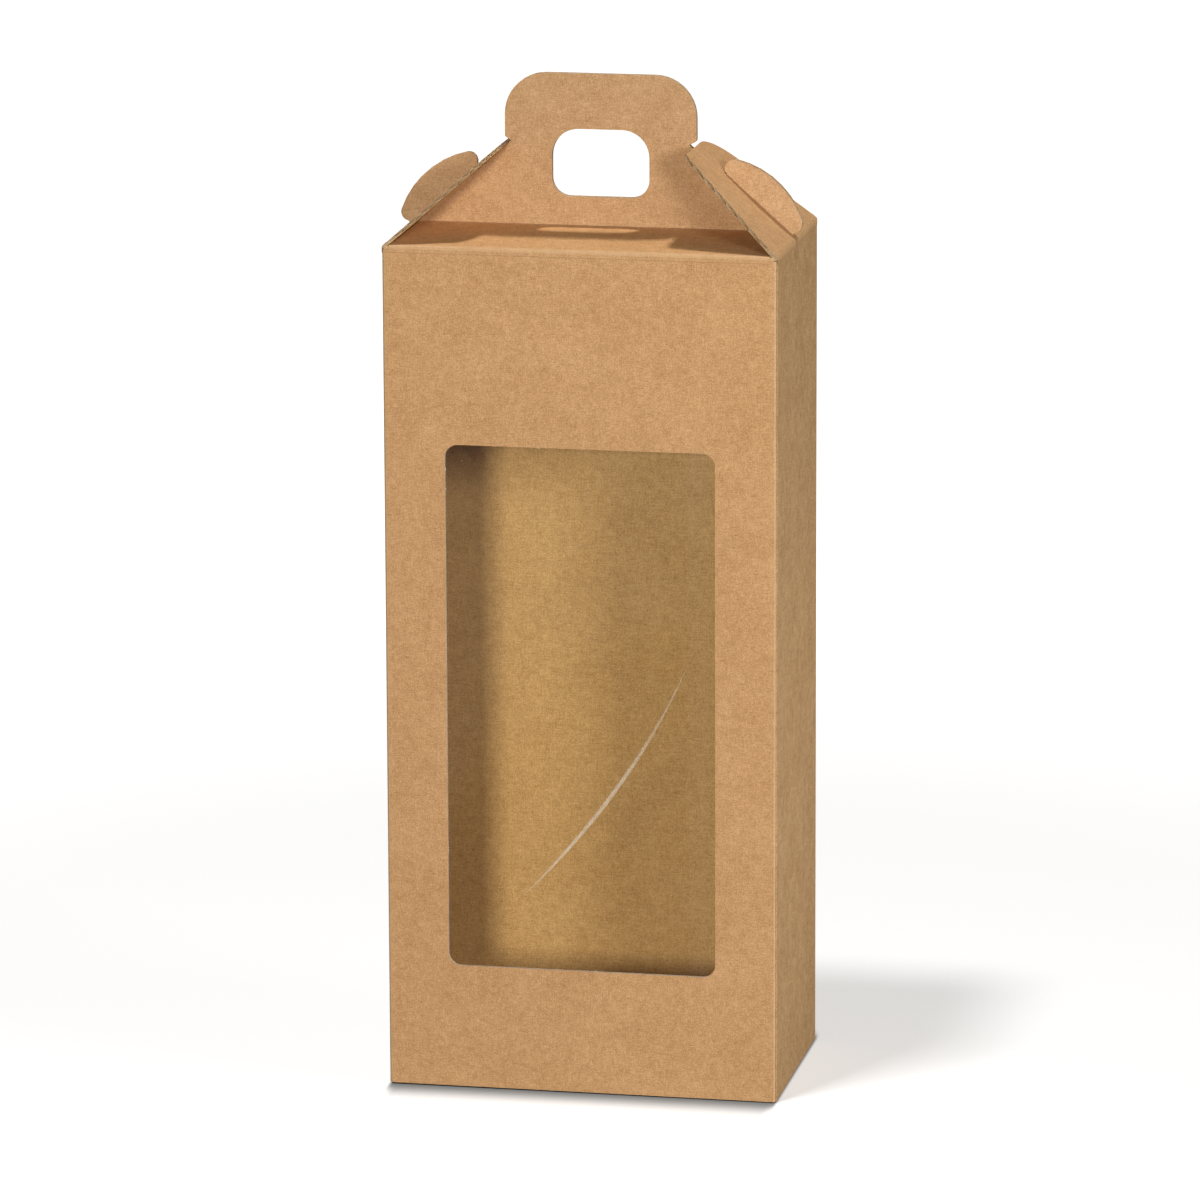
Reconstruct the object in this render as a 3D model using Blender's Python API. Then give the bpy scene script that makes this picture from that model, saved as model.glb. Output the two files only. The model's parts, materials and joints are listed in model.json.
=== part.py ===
"""Two-bottle carry box of thin corrugated board, with a film window and a double handle.

The real box is one die-cut sheet, folded along its creases. Each board between two creases is an
object of its own here. Boards that swing have their origin on their crease.

The box stands on z = 0 with its middle on the z axis. The front faces -Y. Lengths are in metres.
"""

import math

import bmesh
import bpy
from mathutils import Matrix, Vector

# The sleeve, measured over its outer faces, up to the top creases.
BODY_WIDTH = 0.180
BODY_DEPTH = 0.106
BODY_HEIGHT = 0.390

# The board, and the air left between boards that touch or fold on each other.
BOARD = 0.0016
FOLD_GAP = 0.0003
CORNER_RADIUS = 0.0016

# The window in the front panel, and the film glued behind it.
WINDOW_WIDTH = 0.1236
WINDOW_HEIGHT = 0.2424
WINDOW_SILL = 0.0575
WINDOW_RADIUS = 0.006
FILM = 0.0002
FILM_OVERLAP = 0.010
FILM_RADIUS = 0.003

# The glued strip that closes the sleeve, inside the right side panel.
SEAM_FLAP_WIDTH = 0.028
SEAM_FLAP_END_GAP = 0.008
SEAM_FLAP_TAPER = 0.006
SEAM_SETBACK = 0.0010

# The handle, measured upward from the top of the sleeve. The shares place the points of its edge
# under a lock flap, between its crease and the notch under its head.
HANDLE_FOOT_RISE = 0.00265
HANDLE_HEIGHT = 0.0718
HEAD_WIDTH = 0.088
HEAD_RADIUS = 0.0190
HEAD_CORNER_RADIUS = 0.0015
NECK_WIDTH = 0.0814
LEDGE_RISE = 0.0016
SHOULDER_SHARES = (0.0, 0.06, 0.18, 0.34, 1.0)
HAND_HOLE_WIDTH = 0.0448
HAND_HOLE_HEIGHT = 0.0309
HAND_HOLE_SILL = 0.0157
HAND_HOLE_TOP_RADIUS = 0.0125
HAND_HOLE_FOOT_RADIUS = 0.0085

# The lock flaps, measured along the board from their crease.
LOCK_FLAP_SLOPE = math.radians(41.5)
LOCK_FLAP_LENGTH = 0.0613
LOCK_FLAP_SIDE_GAP = 0.0003
LOCK_FLAP_TAPER_START = 0.0015
LOCK_FLAP_TAPER = math.radians(23.7)
LOCK_FLAP_WIDE_RADIUS = 0.028
LOCK_FLAP_SMALL_RADIUS = 0.005
SLOT_SIDE_GAP = 0.00025
SLOT_END_GAP = 0.0003

# The flutes between the two liners of the lock flaps and ears. They run up the blank, and show in
# the slanted and rounded edges that cut across them. A lock flap's crease has pressed them shut.
LINER = 0.0002
FLUTE_PITCH = 0.0033
FLUTE_PAPER = 0.0002
FLUTE_START = 0.0040
FLUTE_WALL = 0.0004
FLUTE_WIDE_SHARE = 0.80
FLUTE_NARROW_SHARE = 0.16

# The ears, measured along a lock flap from its crease and outward from the middle of its board.
# The shares are of the way from the crease to the notch under the handle's head.
EAR_NECK_START = 0.0022
EAR_NECK_SHARE = 0.6365
EAR_START = 0.0014
EAR_SHARE = 0.6977
EAR_HEIGHT = 0.01365
EAR_HOOK_RADIUS = 0.0042
EAR_HOOK_LIFT = 0.00475

# How the top opens: while a top panel swings through the first angle, the lock flaps swing through
# the second, so the boards under a lock flap need room at their sides.
TOP_OPENING = math.radians(90)
LOCK_FLAP_OPENING = math.radians(135)
SWING_STEPS = 180

# The crash-lock bottom, measured inward from the outer face of the panel that carries each flap.
WIDE_FLAP_SIDE_GAP = 0.0030
TONGUE_REACH = 0.012
TONGUE_SLANT = 0.006
TONGUE_GAP = 0.0008
RAMP_START = 0.0022
RAMP_LENGTH = 0.0060
NARROW_FLAP_REACH = 0.049
NARROW_FLAP_RELIEF = 0.011
NARROW_FLAP_NOSE = 0.014
CORNER_TAB_WIDTH = 0.024

# How finely round shapes are divided, and how far a cutter runs past what it cuts.
FOLD_SEGMENTS = 4
FOLD_PROFILE = 0.5
ARC_STEP = math.radians(9)
FLAT_WITHIN = math.radians(0.5)
SMOOTH_WITHIN = math.radians(35)
WELD = 0.000001
CUT_OVERRUN = 0.005
NOSE_SHARE = 0.98

# Colours of the finished board and film, linear, from the photograph.
KRAFT_OUTSIDE = (0.560, 0.312, 0.142)
KRAFT_SHADED = (0.390, 0.230, 0.105)
KRAFT_INSIDE = (0.430, 0.245, 0.098)
FILM_CLEAR = (0.90, 0.90, 0.86)
KRAFT_ROUGHNESS = 0.85
FILM_ROUGHNESS = 0.08
FILM_ALPHA = 0.25

# Places worked out from the sizes above.
HALF_BOARD = BOARD / 2
HALF_WIDTH = BODY_WIDTH / 2
HALF_DEPTH = BODY_DEPTH / 2
TOP_CREASE_Z = BODY_HEIGHT - HALF_BOARD
PANEL_TOP = TOP_CREASE_Z - HALF_BOARD - FOLD_GAP
SIDE_CREASE_X = HALF_WIDTH - HALF_BOARD
FRONT_CREASE_Y = HALF_DEPTH - HALF_BOARD
HANDLE_CREASE_Y = HALF_BOARD + FOLD_GAP / 2
HANDLE_CREASE_Z = BODY_HEIGHT + HANDLE_FOOT_RISE - HALF_BOARD
TOP_PANEL_RUN = FRONT_CREASE_Y - HANDLE_CREASE_Y
TOP_PANEL_SLOPE = math.atan2(HANDLE_CREASE_Z - TOP_CREASE_Z, TOP_PANEL_RUN)
TOP_PANEL_LENGTH = math.hypot(TOP_PANEL_RUN, HANDLE_CREASE_Z - TOP_CREASE_Z)
SLOT_WIDTH = 2 * BOARD + FOLD_GAP + 2 * SLOT_SIDE_GAP
UNDER_FLAP = HALF_BOARD + FOLD_GAP
NOTCH_ROOM = SIDE_CREASE_X - NECK_WIDTH / 2
NOTCH_REACH = (NOTCH_ROOM - UNDER_FLAP * math.sin(LOCK_FLAP_SLOPE)) / math.cos(LOCK_FLAP_SLOPE)
EAR_NECK_LENGTH = EAR_NECK_SHARE * NOTCH_REACH
EAR_LENGTH = EAR_SHARE * NOTCH_REACH


def clear_scene():
    """Remove what a new file holds."""
    for thing in list(bpy.data.objects):
        bpy.data.objects.remove(thing, do_unlink=True)
    for group in list(bpy.data.collections):
        bpy.data.collections.remove(group)


def new_collection(name):
    """Add a collection to the scene."""
    group = bpy.data.collections.new(name)
    bpy.context.scene.collection.children.link(group)
    return group


def new_material(name, colour, roughness, alpha=1.0):
    """Add a Principled material."""
    material = bpy.data.materials.new(name)
    material.use_nodes = True
    shader = material.node_tree.nodes["Principled BSDF"]
    shader.inputs["Base Color"].default_value = (*colour, 1.0)
    shader.inputs["Roughness"].default_value = roughness
    shader.inputs["Metallic"].default_value = 0.0
    shader.inputs["Alpha"].default_value = alpha
    return material


def arc(centre, radius, start, end):
    """Points on a circle from one angle to another, both ends included."""
    steps = max(2, math.ceil(abs(end - start) / ARC_STEP))
    angles = [start + (end - start) * i / steps for i in range(steps + 1)]
    return [(centre[0] + radius * math.cos(a), centre[1] + radius * math.sin(a)) for a in angles]


def rounded(corners):
    """An outline from corners (x, y, radius), with an arc at each corner that has a radius."""
    outline = []
    for i, (x, y, radius) in enumerate(corners):
        here = Vector((x, y))
        if radius == 0:
            outline.append((x, y))
            continue
        before = (Vector(corners[i - 1][:2]) - here).normalized()
        after = (Vector(corners[(i + 1) % len(corners)][:2]) - here).normalized()
        half_angle = before.angle(after) / 2
        centre = here + (before + after).normalized() * radius / math.sin(half_angle)
        first = here + before * radius / math.tan(half_angle) - centre
        turn = -first.angle_signed(here + after * radius / math.tan(half_angle) - centre)
        start = math.atan2(first.y, first.x)
        outline.extend(arc(centre, radius, start, start + turn))
    return outline


def mirrored(outline):
    """The outline of the left-hand twin, in the same turning sense."""
    return [(-x, y) for x, y in reversed(outline)]


def flat_sheet(name, loops, thickness=BOARD):
    """A mesh sheet in the XY plane, half its thickness to each side, with holes for inner loops."""
    curve = bpy.data.curves.new(name, "CURVE")
    curve.dimensions = "2D"
    curve.fill_mode = "BOTH"
    curve.extrude = thickness / 2
    for loop in loops:
        spline = curve.splines.new("POLY")
        spline.points.add(len(loop) - 1)
        for point, (x, y) in zip(spline.points, loop):
            point.co = (x, y, 0, 1)
        spline.use_cyclic_u = True
    holder = bpy.data.objects.new(name + "_outline", curve)
    bpy.context.scene.collection.objects.link(holder)
    graph = bpy.context.evaluated_depsgraph_get()
    mesh = bpy.data.meshes.new_from_object(holder.evaluated_get(graph))
    bpy.data.objects.remove(holder, do_unlink=True)
    bpy.data.curves.remove(curve)
    mesh.name = name
    sheet = bmesh.new()
    sheet.from_mesh(mesh)
    bmesh.ops.remove_doubles(sheet, verts=sheet.verts, dist=WELD)
    bmesh.ops.dissolve_limit(
        sheet, angle_limit=FLAT_WITHIN, verts=sheet.verts, edges=sheet.edges
    )
    bmesh.ops.recalc_face_normals(sheet, faces=sheet.faces)
    sheet.to_mesh(mesh)
    sheet.free()
    return mesh


def edges_at(sheet, axis, place, height):
    """Edges that lie at one place along an axis, on the face at one height."""
    return [
        edge
        for edge in sheet.edges
        if all(abs(v.co[axis] - place) < WELD and abs(v.co.z - height) < WELD for v in edge.verts)
    ]


def round_fold_edge(mesh, axis, place):
    """Make the end of a sheet into the round nose that turns in its crease."""
    sheet = bmesh.new()
    sheet.from_mesh(mesh)
    edges = edges_at(sheet, axis, place, HALF_BOARD) + edges_at(sheet, axis, place, -HALF_BOARD)
    bmesh.ops.bevel(
        sheet,
        geom=edges,
        offset=HALF_BOARD * NOSE_SHARE,
        offset_type="OFFSET",
        segments=FOLD_SEGMENTS,
        profile=FOLD_PROFILE,
        affect="EDGES",
    )
    sheet.to_mesh(mesh)
    sheet.free()


def mitre_fold_edge(mesh, axis, place, outer_height):
    """Round the outer edge of a fixed fold and cut it at half the fold's angle."""
    sheet = bmesh.new()
    sheet.from_mesh(mesh)
    bmesh.ops.bevel(
        sheet,
        geom=edges_at(sheet, axis, place, outer_height),
        offset=min(CORNER_RADIUS, BOARD * NOSE_SHARE),
        offset_type="OFFSET",
        segments=FOLD_SEGMENTS,
        profile=FOLD_PROFILE,
        affect="EDGES",
    )
    outward = Vector((0, 0, 0))
    outward[axis] = math.copysign(1, place)
    outward.z = -math.copysign(1, outer_height)
    outward.normalize()
    corner = Vector((0, 0, outer_height))
    corner[axis] = place
    cut = bmesh.ops.bisect_plane(
        sheet,
        geom=sheet.verts[:] + sheet.edges[:] + sheet.faces[:],
        dist=WELD,
        plane_co=corner - outward * FOLD_GAP / 2,
        plane_no=outward,
        clear_outer=True,
    )
    rim = [piece for piece in cut["geom_cut"] if isinstance(piece, bmesh.types.BMEdge)]
    bmesh.ops.holes_fill(sheet, edges=rim, sides=0)
    bmesh.ops.recalc_face_normals(sheet, faces=sheet.faces)
    sheet.to_mesh(mesh)
    sheet.free()


def add_part(group, name, mesh, matrix, material):
    """Link a mesh as a named part, with round folds shaded smooth."""
    mesh.materials.clear()
    mesh.materials.append(material)
    mesh.shade_smooth()
    mesh.set_sharp_from_angle(angle=SMOOTH_WITHIN)
    part = bpy.data.objects.new(name, mesh)
    part.matrix_world = matrix
    group.objects.link(part)
    return part


def quarter_turns(count):
    """Turn about the box's upright axis, counted in right angles."""
    return Matrix.Rotation(count * math.pi / 2, 4, "Z")


def upright(place):
    """Stand a sheet up: its X stays, its Y points up and its outer face looks to the front."""
    return Matrix.Translation(place) @ Matrix.Rotation(math.pi / 2, 4, "X")


def window_outline(margin, radius):
    """The window's outline on the front panel, or the film's with a margin."""
    half = WINDOW_WIDTH / 2 + margin
    sill = WINDOW_SILL - margin
    head = WINDOW_SILL + WINDOW_HEIGHT + margin
    return rounded(
        [(-half, sill, radius), (half, sill, radius), (half, head, radius), (-half, head, radius)]
    )


def wall_sheet(name, left_end, right_end, inner_loops=()):
    """An upright wall from its bottom fold to the flat edge under its top crease."""
    outline = [(left_end, 0), (right_end, 0), (right_end, PANEL_TOP), (left_end, PANEL_TOP)]
    return flat_sheet(name, [outline, *inner_loops])


def build_walls(group, kraft, shaded):
    """The four walls of the sleeve. The right wall ends at the seam, and the others fold."""
    front = wall_sheet(
        "front_panel", -HALF_WIDTH, HALF_WIDTH, [window_outline(0, WINDOW_RADIUS)]
    )
    seam_end = SIDE_CREASE_X - HALF_BOARD - FOLD_GAP
    back = wall_sheet("back_panel", -seam_end, HALF_WIDTH)
    left = wall_sheet("left_side_panel", -HALF_DEPTH, HALF_DEPTH)
    right = wall_sheet("right_side_panel", -HALF_DEPTH, HALF_DEPTH - SEAM_SETBACK)
    mitre_fold_edge(front, 0, -HALF_WIDTH, HALF_BOARD)
    mitre_fold_edge(front, 0, HALF_WIDTH, HALF_BOARD)
    mitre_fold_edge(back, 0, -seam_end, HALF_BOARD)
    mitre_fold_edge(back, 0, HALF_WIDTH, HALF_BOARD)
    mitre_fold_edge(left, 0, -HALF_DEPTH, HALF_BOARD)
    mitre_fold_edge(left, 0, HALF_DEPTH, HALF_BOARD)
    mitre_fold_edge(right, 0, -HALF_DEPTH, HALF_BOARD)
    for wall in (front, back, left, right):
        round_bottom_fold(wall)
    to_front = upright((0, -FRONT_CREASE_Y, 0))
    to_side = upright((0, -SIDE_CREASE_X, 0))
    add_part(group, "front_panel", front, to_front, kraft)
    add_part(group, "right_side_panel", right, quarter_turns(1) @ to_side, shaded)
    add_part(group, "back_panel", back, quarter_turns(2) @ to_front, kraft)
    add_part(group, "left_side_panel", left, quarter_turns(3) @ to_side, shaded)


def round_bottom_fold(mesh):
    """Shift a wall so that its bottom fold can be rounded and mitred like its upright folds."""
    down = Matrix.Translation((0, -BODY_HEIGHT, 0))
    mesh.transform(down)
    mitre_fold_edge(mesh, 1, -BODY_HEIGHT, HALF_BOARD)
    mesh.transform(down.inverted())


def build_seam_flap(group, kraft):
    """The strip folded in from the back panel and glued inside the right side panel."""
    fold = HALF_DEPTH
    free = fold - SEAM_FLAP_WIDTH
    foot = SEAM_FLAP_END_GAP
    head = PANEL_TOP - SEAM_FLAP_END_GAP
    outline = [
        (free, foot + SEAM_FLAP_TAPER),
        (fold, foot),
        (fold, head),
        (free, head - SEAM_FLAP_TAPER),
    ]
    mesh = flat_sheet("seam_flap", [outline])
    mitre_fold_edge(mesh, 0, fold, HALF_BOARD)
    inside_right = SIDE_CREASE_X - BOARD - FOLD_GAP
    place = quarter_turns(1) @ upright((0, -inside_right, 0))
    add_part(group, "seam_flap", mesh, place, kraft)


def build_window_film(group, film):
    """The clear film that closes the window from inside."""
    mesh = flat_sheet("window_film", [window_outline(FILM_OVERLAP, FILM_RADIUS)], FILM)
    behind_front = -(HALF_DEPTH - BOARD - FOLD_GAP - FILM / 2)
    add_part(group, "window_film", mesh, upright((0, behind_front, 0)), film)


def side_room(height_at_rest, rise_at):
    """Room needed between the side crease and a board's edge that rises under a lock flap.

    height_at_rest is the edge's height over the side crease, and rise_at gives how far it has risen
    when the top panel has swung through an angle.
    """
    room = 0
    for step in range(SWING_STEPS + 1):
        share = step / SWING_STEPS
        flap_angle = LOCK_FLAP_SLOPE + share * LOCK_FLAP_OPENING
        if flap_angle >= math.pi / 2:
            break
        height = height_at_rest + rise_at(share * TOP_OPENING)
        reach = HALF_BOARD + FOLD_GAP + height * math.cos(flap_angle)
        room = max(room, reach / math.sin(flap_angle))
    return room


def handle_rise(swing):
    """How far the handles have risen when the top panels have swung through an angle."""
    high = math.sin(TOP_PANEL_SLOPE + swing)
    return TOP_PANEL_LENGTH * (high - math.sin(TOP_PANEL_SLOPE))


def top_panel_room(reach):
    """Room at the side of a top panel, at a distance from its crease along the board."""

    def rise(swing):
        along = reach * math.sin(TOP_PANEL_SLOPE + swing)
        return along + HALF_BOARD * math.cos(TOP_PANEL_SLOPE + swing)

    return side_room(0, rise)


def build_top_panels(group, kraft):
    """Half-depth top panels, tapered so that they swing up between the lock flaps."""
    inner_end = TOP_PANEL_LENGTH - HALF_BOARD - FOLD_GAP
    outer_half = SIDE_CREASE_X - top_panel_room(0) - FOLD_GAP
    inner_half = SIDE_CREASE_X - top_panel_room(TOP_PANEL_LENGTH) - FOLD_GAP
    outline = [
        (-outer_half, -HALF_BOARD),
        (outer_half, -HALF_BOARD),
        (inner_half, inner_end),
        (-inner_half, inner_end),
    ]
    crease = Matrix.Translation((0, -FRONT_CREASE_Y, TOP_CREASE_Z))
    place = crease @ Matrix.Rotation(TOP_PANEL_SLOPE, 4, "X")
    for turns, name in ((0, "front_top_panel"), (2, "back_top_panel")):
        mesh = flat_sheet(name, [outline])
        round_fold_edge(mesh, 1, -HALF_BOARD)
        add_part(group, name, mesh, quarter_turns(turns) @ place, kraft)


def shoulder_point(height):
    """A point of a handle's right edge under the lock flap, at a height over the side crease."""
    return (SIDE_CREASE_X - side_room(height, handle_rise), height)


def shoulder_points():
    """The handle's right edge from its crease up to the notch under its head."""
    foot = HANDLE_CREASE_Z - TOP_CREASE_Z
    notch = (NOTCH_ROOM * math.sin(LOCK_FLAP_SLOPE) - UNDER_FLAP) / math.cos(LOCK_FLAP_SLOPE)
    return [shoulder_point(foot + share * (notch - foot)) for share in SHOULDER_SHARES]


def from_handle_crease(point):
    """A point measured over the side crease's height, as seen from the handle's crease."""
    return (point[0], point[1] + TOP_CREASE_Z - HANDLE_CREASE_Z)


def handle_outline():
    """One handle, from the nose in its crease to the top of its head."""
    shoulder = [from_handle_crease(point) for point in shoulder_points()]
    half_head = HEAD_WIDTH / 2
    top = BODY_HEIGHT + HANDLE_HEIGHT - HANDLE_CREASE_Z
    foot_x = shoulder[0][0]
    notch_y = shoulder[-1][1]
    right = [(foot_x, -HALF_BOARD, 0)]
    right += [(x, y, 0) for x, y in shoulder]
    right += [(half_head, notch_y + LEDGE_RISE, HEAD_CORNER_RADIUS), (half_head, top, HEAD_RADIUS)]
    left = [(-x, y, radius) for x, y, radius in reversed(right)]
    return rounded(right + left)


def hand_hole_outline():
    """The hand hole, wider in its top corners than in its lower ones."""
    half = HAND_HOLE_WIDTH / 2
    sill = BODY_HEIGHT + HAND_HOLE_SILL - HANDLE_CREASE_Z
    head = sill + HAND_HOLE_HEIGHT
    return rounded(
        [
            (-half, sill, HAND_HOLE_FOOT_RADIUS),
            (half, sill, HAND_HOLE_FOOT_RADIUS),
            (half, head, HAND_HOLE_TOP_RADIUS),
            (-half, head, HAND_HOLE_TOP_RADIUS),
        ]
    )


def from_lock_flap(along, outward):
    """A point by its place along the right lock flap and outward from it, in the handle's plane."""
    x = SIDE_CREASE_X - along * math.cos(LOCK_FLAP_SLOPE) + outward * math.sin(LOCK_FLAP_SLOPE)
    z = along * math.sin(LOCK_FLAP_SLOPE) + outward * math.cos(LOCK_FLAP_SLOPE)
    return (x, z)


def ear_arcs():
    """The half-moon of an ear, as (along, outward): a hook, the bow and the other hook."""
    first = (EAR_START + EAR_HOOK_RADIUS, EAR_HOOK_LIFT)
    last = (EAR_START + EAR_LENGTH - EAR_HOOK_RADIUS, EAR_HOOK_LIFT)
    half_span = (last[0] - first[0]) / 2
    drop = EAR_HEIGHT - EAR_HOOK_LIFT
    bow_radius = (half_span**2 + drop**2 - EAR_HOOK_RADIUS**2) / (2 * (drop - EAR_HOOK_RADIUS))
    bow_centre = (first[0] + half_span, EAR_HEIGHT - bow_radius)
    lean = math.atan2(EAR_HOOK_LIFT - bow_centre[1], half_span)
    neck_side = math.acos((EAR_NECK_START - first[0]) / EAR_HOOK_RADIUS)
    flap_side = math.asin((HALF_BOARD + FOLD_GAP - last[1]) / EAR_HOOK_RADIUS)
    low_hook = arc(first, EAR_HOOK_RADIUS, 2 * math.pi - neck_side, math.pi - lean)
    bow = arc(bow_centre, bow_radius, math.pi - lean, lean)
    high_hook = arc(last, EAR_HOOK_RADIUS, lean, flap_side)
    return low_hook + bow[1:-1] + high_hook


def ear_outline():
    """A right ear: its root along the handle's shoulder, its neck and the half-moon."""
    neck_end = EAR_NECK_START + EAR_NECK_LENGTH
    moon = [(EAR_NECK_START, -HALF_BOARD), *ear_arcs()]
    moon += [(neck_end, HALF_BOARD + FOLD_GAP), (neck_end, -HALF_BOARD)]
    outline = [from_lock_flap(along, outward) for along, outward in moon]
    aside = FOLD_GAP / math.sin(LOCK_FLAP_SLOPE)
    root = [(x + aside, z) for x, z in shoulder_points()]
    root = [point for point in root if point[1] < outline[-1][1]]
    outline += reversed(root)
    return [from_handle_crease(point) for point in outline]


def add_flute(air, start, end, middle, side):
    """Add one flute's air along X: wide along the liner on its own side, narrow at the other."""
    wide = FLUTE_PITCH * FLUTE_WIDE_SHARE / 2
    narrow = FLUTE_PITCH * FLUTE_NARROW_SHARE / 2
    inner_face = HALF_BOARD - LINER
    for vert in bmesh.ops.create_cube(air, size=1)["verts"]:
        at_own_liner = vert.co.z > 0
        half = wide if at_own_liner else narrow
        height = inner_face if at_own_liner else FLUTE_PAPER - inner_face
        along = end if vert.co.x > 0 else start
        vert.co = (along, middle + math.copysign(half, vert.co.y), side * height)


def flute_air(lanes):
    """The air of several flutes, each given by its start, its end and its place across the board.

    The places count half pitches from the middle of the blank's panel. Flutes at even places are
    wide at the outer liner, and those at odd places at the inner one.
    """
    air = bmesh.new()
    for start, end, place in lanes:
        add_flute(air, start, end, place * FLUTE_PITCH / 2, 1 if place % 2 == 0 else -1)
    bmesh.ops.recalc_face_normals(air, faces=air.faces)
    mesh = bpy.data.meshes.new("flute_air")
    air.to_mesh(mesh)
    air.free()
    return mesh


def flutes_within(low, high):
    """The places, in half pitches, of the flutes that keep a wall to a board's two sides."""
    half_pitch = FLUTE_PITCH / 2
    inset = FLUTE_WALL + FLUTE_PITCH * FLUTE_WIDE_SHARE / 2
    return range(math.ceil((low + inset) / half_pitch), math.floor((high - inset) / half_pitch) + 1)


def cut_flutes(board, air, cutters):
    """Cut the flutes' air out of a board."""
    cutter = bpy.data.objects.new(board.name + "_flutes", air)
    cutter.matrix_world = board.matrix_world
    cutter.hide_render = True
    cutter.display_type = "WIRE"
    cutters.objects.link(cutter)
    cut = board.modifiers.new("flutes", "BOOLEAN")
    cut.operation = "DIFFERENCE"
    cut.solver = "EXACT"
    cut.object = cutter


def ear_flute_air(outline):
    """The air of an ear's flutes, which run upright through it from edge to edge."""
    across = [x for x, _ in outline]
    start = min(y for _, y in outline) - CUT_OVERRUN
    end = max(y for _, y in outline) + CUT_OVERRUN
    mesh = flute_air([(start, end, -place) for place in flutes_within(min(across), max(across))])
    mesh.transform(Matrix.Rotation(math.pi / 2, 4, "Z"))
    return mesh


def build_handles(group, cutters, kraft):
    """Two handles back to back at mid-depth, each with an ear through either lock flap."""
    place = upright((0, -HANDLE_CREASE_Y, HANDLE_CREASE_Z))
    right_ear = ear_outline()
    left_ear = mirrored(right_ear)
    for turns, side in ((0, "front"), (2, "back")):
        turned = quarter_turns(turns) @ place
        handle = flat_sheet(side + "_handle", [handle_outline(), hand_hole_outline()])
        round_fold_edge(handle, 1, -HALF_BOARD)
        add_part(group, side + "_handle", handle, turned, kraft)
        hands = ("left", "right") if turns == 0 else ("right", "left")
        for hand, outline in zip(hands, (left_ear, right_ear)):
            name = side + "_" + hand + "_ear"
            ear = add_part(group, name, flat_sheet(name, [outline]), turned, kraft)
            cut_flutes(ear, ear_flute_air(outline), cutters)


def lock_flap_outline():
    """A lock flap along X from its crease, with one wide and one small round corner."""
    half_base = HALF_DEPTH - LOCK_FLAP_SIDE_GAP
    taper_run = LOCK_FLAP_LENGTH - LOCK_FLAP_TAPER_START
    half_tip = half_base - taper_run * math.tan(LOCK_FLAP_TAPER)
    return rounded(
        [
            (-HALF_BOARD, half_base, 0),
            (-HALF_BOARD, -half_base, 0),
            (LOCK_FLAP_TAPER_START, -half_base, 0),
            (LOCK_FLAP_LENGTH, -half_tip, LOCK_FLAP_WIDE_RADIUS),
            (LOCK_FLAP_LENGTH, half_tip, LOCK_FLAP_SMALL_RADIUS),
            (LOCK_FLAP_TAPER_START, half_base, 0),
        ]
    )


def slot_outline():
    """The slot that both handles' ears go through together."""
    start = EAR_NECK_START - SLOT_END_GAP
    end = EAR_NECK_START + EAR_NECK_LENGTH + SLOT_END_GAP
    half = SLOT_WIDTH / 2
    return [(start, -half), (end, -half), (end, half), (start, half)]


def lock_flap_flute_air():
    """The air of a lock flap's flutes. Those in line with the slot start beyond it."""
    taper_run = FLUTE_START - LOCK_FLAP_TAPER_START
    half_flap = HALF_DEPTH - LOCK_FLAP_SIDE_GAP - taper_run * math.tan(LOCK_FLAP_TAPER)
    beyond_slot = EAR_NECK_START + EAR_NECK_LENGTH + SLOT_END_GAP + FLUTE_WALL
    end = LOCK_FLAP_LENGTH + CUT_OVERRUN
    clear_of_slot = flutes_within(SLOT_WIDTH / 2, half_flap)
    lanes = []
    for place in flutes_within(-half_flap, half_flap):
        start = FLUTE_START if abs(place) in clear_of_slot else beyond_slot
        lanes.append((start, end, place))
    return flute_air(lanes)


def build_lock_flaps(group, cutters, kraft):
    """The gable flaps, leaning inward over the handles' shoulders."""
    crease = Matrix.Translation((-SIDE_CREASE_X, 0, TOP_CREASE_Z))
    place = crease @ Matrix.Rotation(-LOCK_FLAP_SLOPE, 4, "Y")
    air = lock_flap_flute_air()
    for turns, name in ((0, "left_lock_flap"), (2, "right_lock_flap")):
        mesh = flat_sheet(name, [lock_flap_outline(), slot_outline()])
        round_fold_edge(mesh, 0, -HALF_BOARD)
        flap = add_part(group, name, mesh, quarter_turns(turns) @ place, kraft)
        cut_flutes(flap, air, cutters)


def bend_over_narrow_flaps(mesh, crease_y):
    """Lift a wide bottom flap by one board, over a ramp just inside its fold."""
    lift = BOARD + FOLD_GAP
    ramp_foot = crease_y + RAMP_START
    ramp_head = ramp_foot + RAMP_LENGTH
    sheet = bmesh.new()
    sheet.from_mesh(mesh)
    for bend in (ramp_foot, ramp_head):
        bmesh.ops.bisect_plane(
            sheet,
            geom=sheet.verts[:] + sheet.edges[:] + sheet.faces[:],
            dist=WELD,
            plane_co=(0, bend, 0),
            plane_no=(0, 1, 0),
        )
    for vert in sheet.verts:
        share = (vert.co.y - ramp_foot) / RAMP_LENGTH
        vert.co.z += lift * min(max(share, 0), 1)
    sheet.to_mesh(mesh)
    sheet.free()


def wide_flap_outline():
    """A wide bottom flap. Its inner edge slants back at the middle and hooks into its twin's."""
    half = HALF_WIDTH - BOARD - WIDE_FLAP_SIDE_GAP
    reach = TONGUE_REACH
    edge = -TONGUE_GAP / 2
    return [
        (-half, -HALF_DEPTH),
        (half, -HALF_DEPTH),
        (half, reach + edge),
        (-TONGUE_SLANT + TONGUE_GAP / 2, reach + edge),
        (TONGUE_SLANT + TONGUE_GAP / 2, -reach + edge),
        (-half, -reach + edge),
    ]


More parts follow.
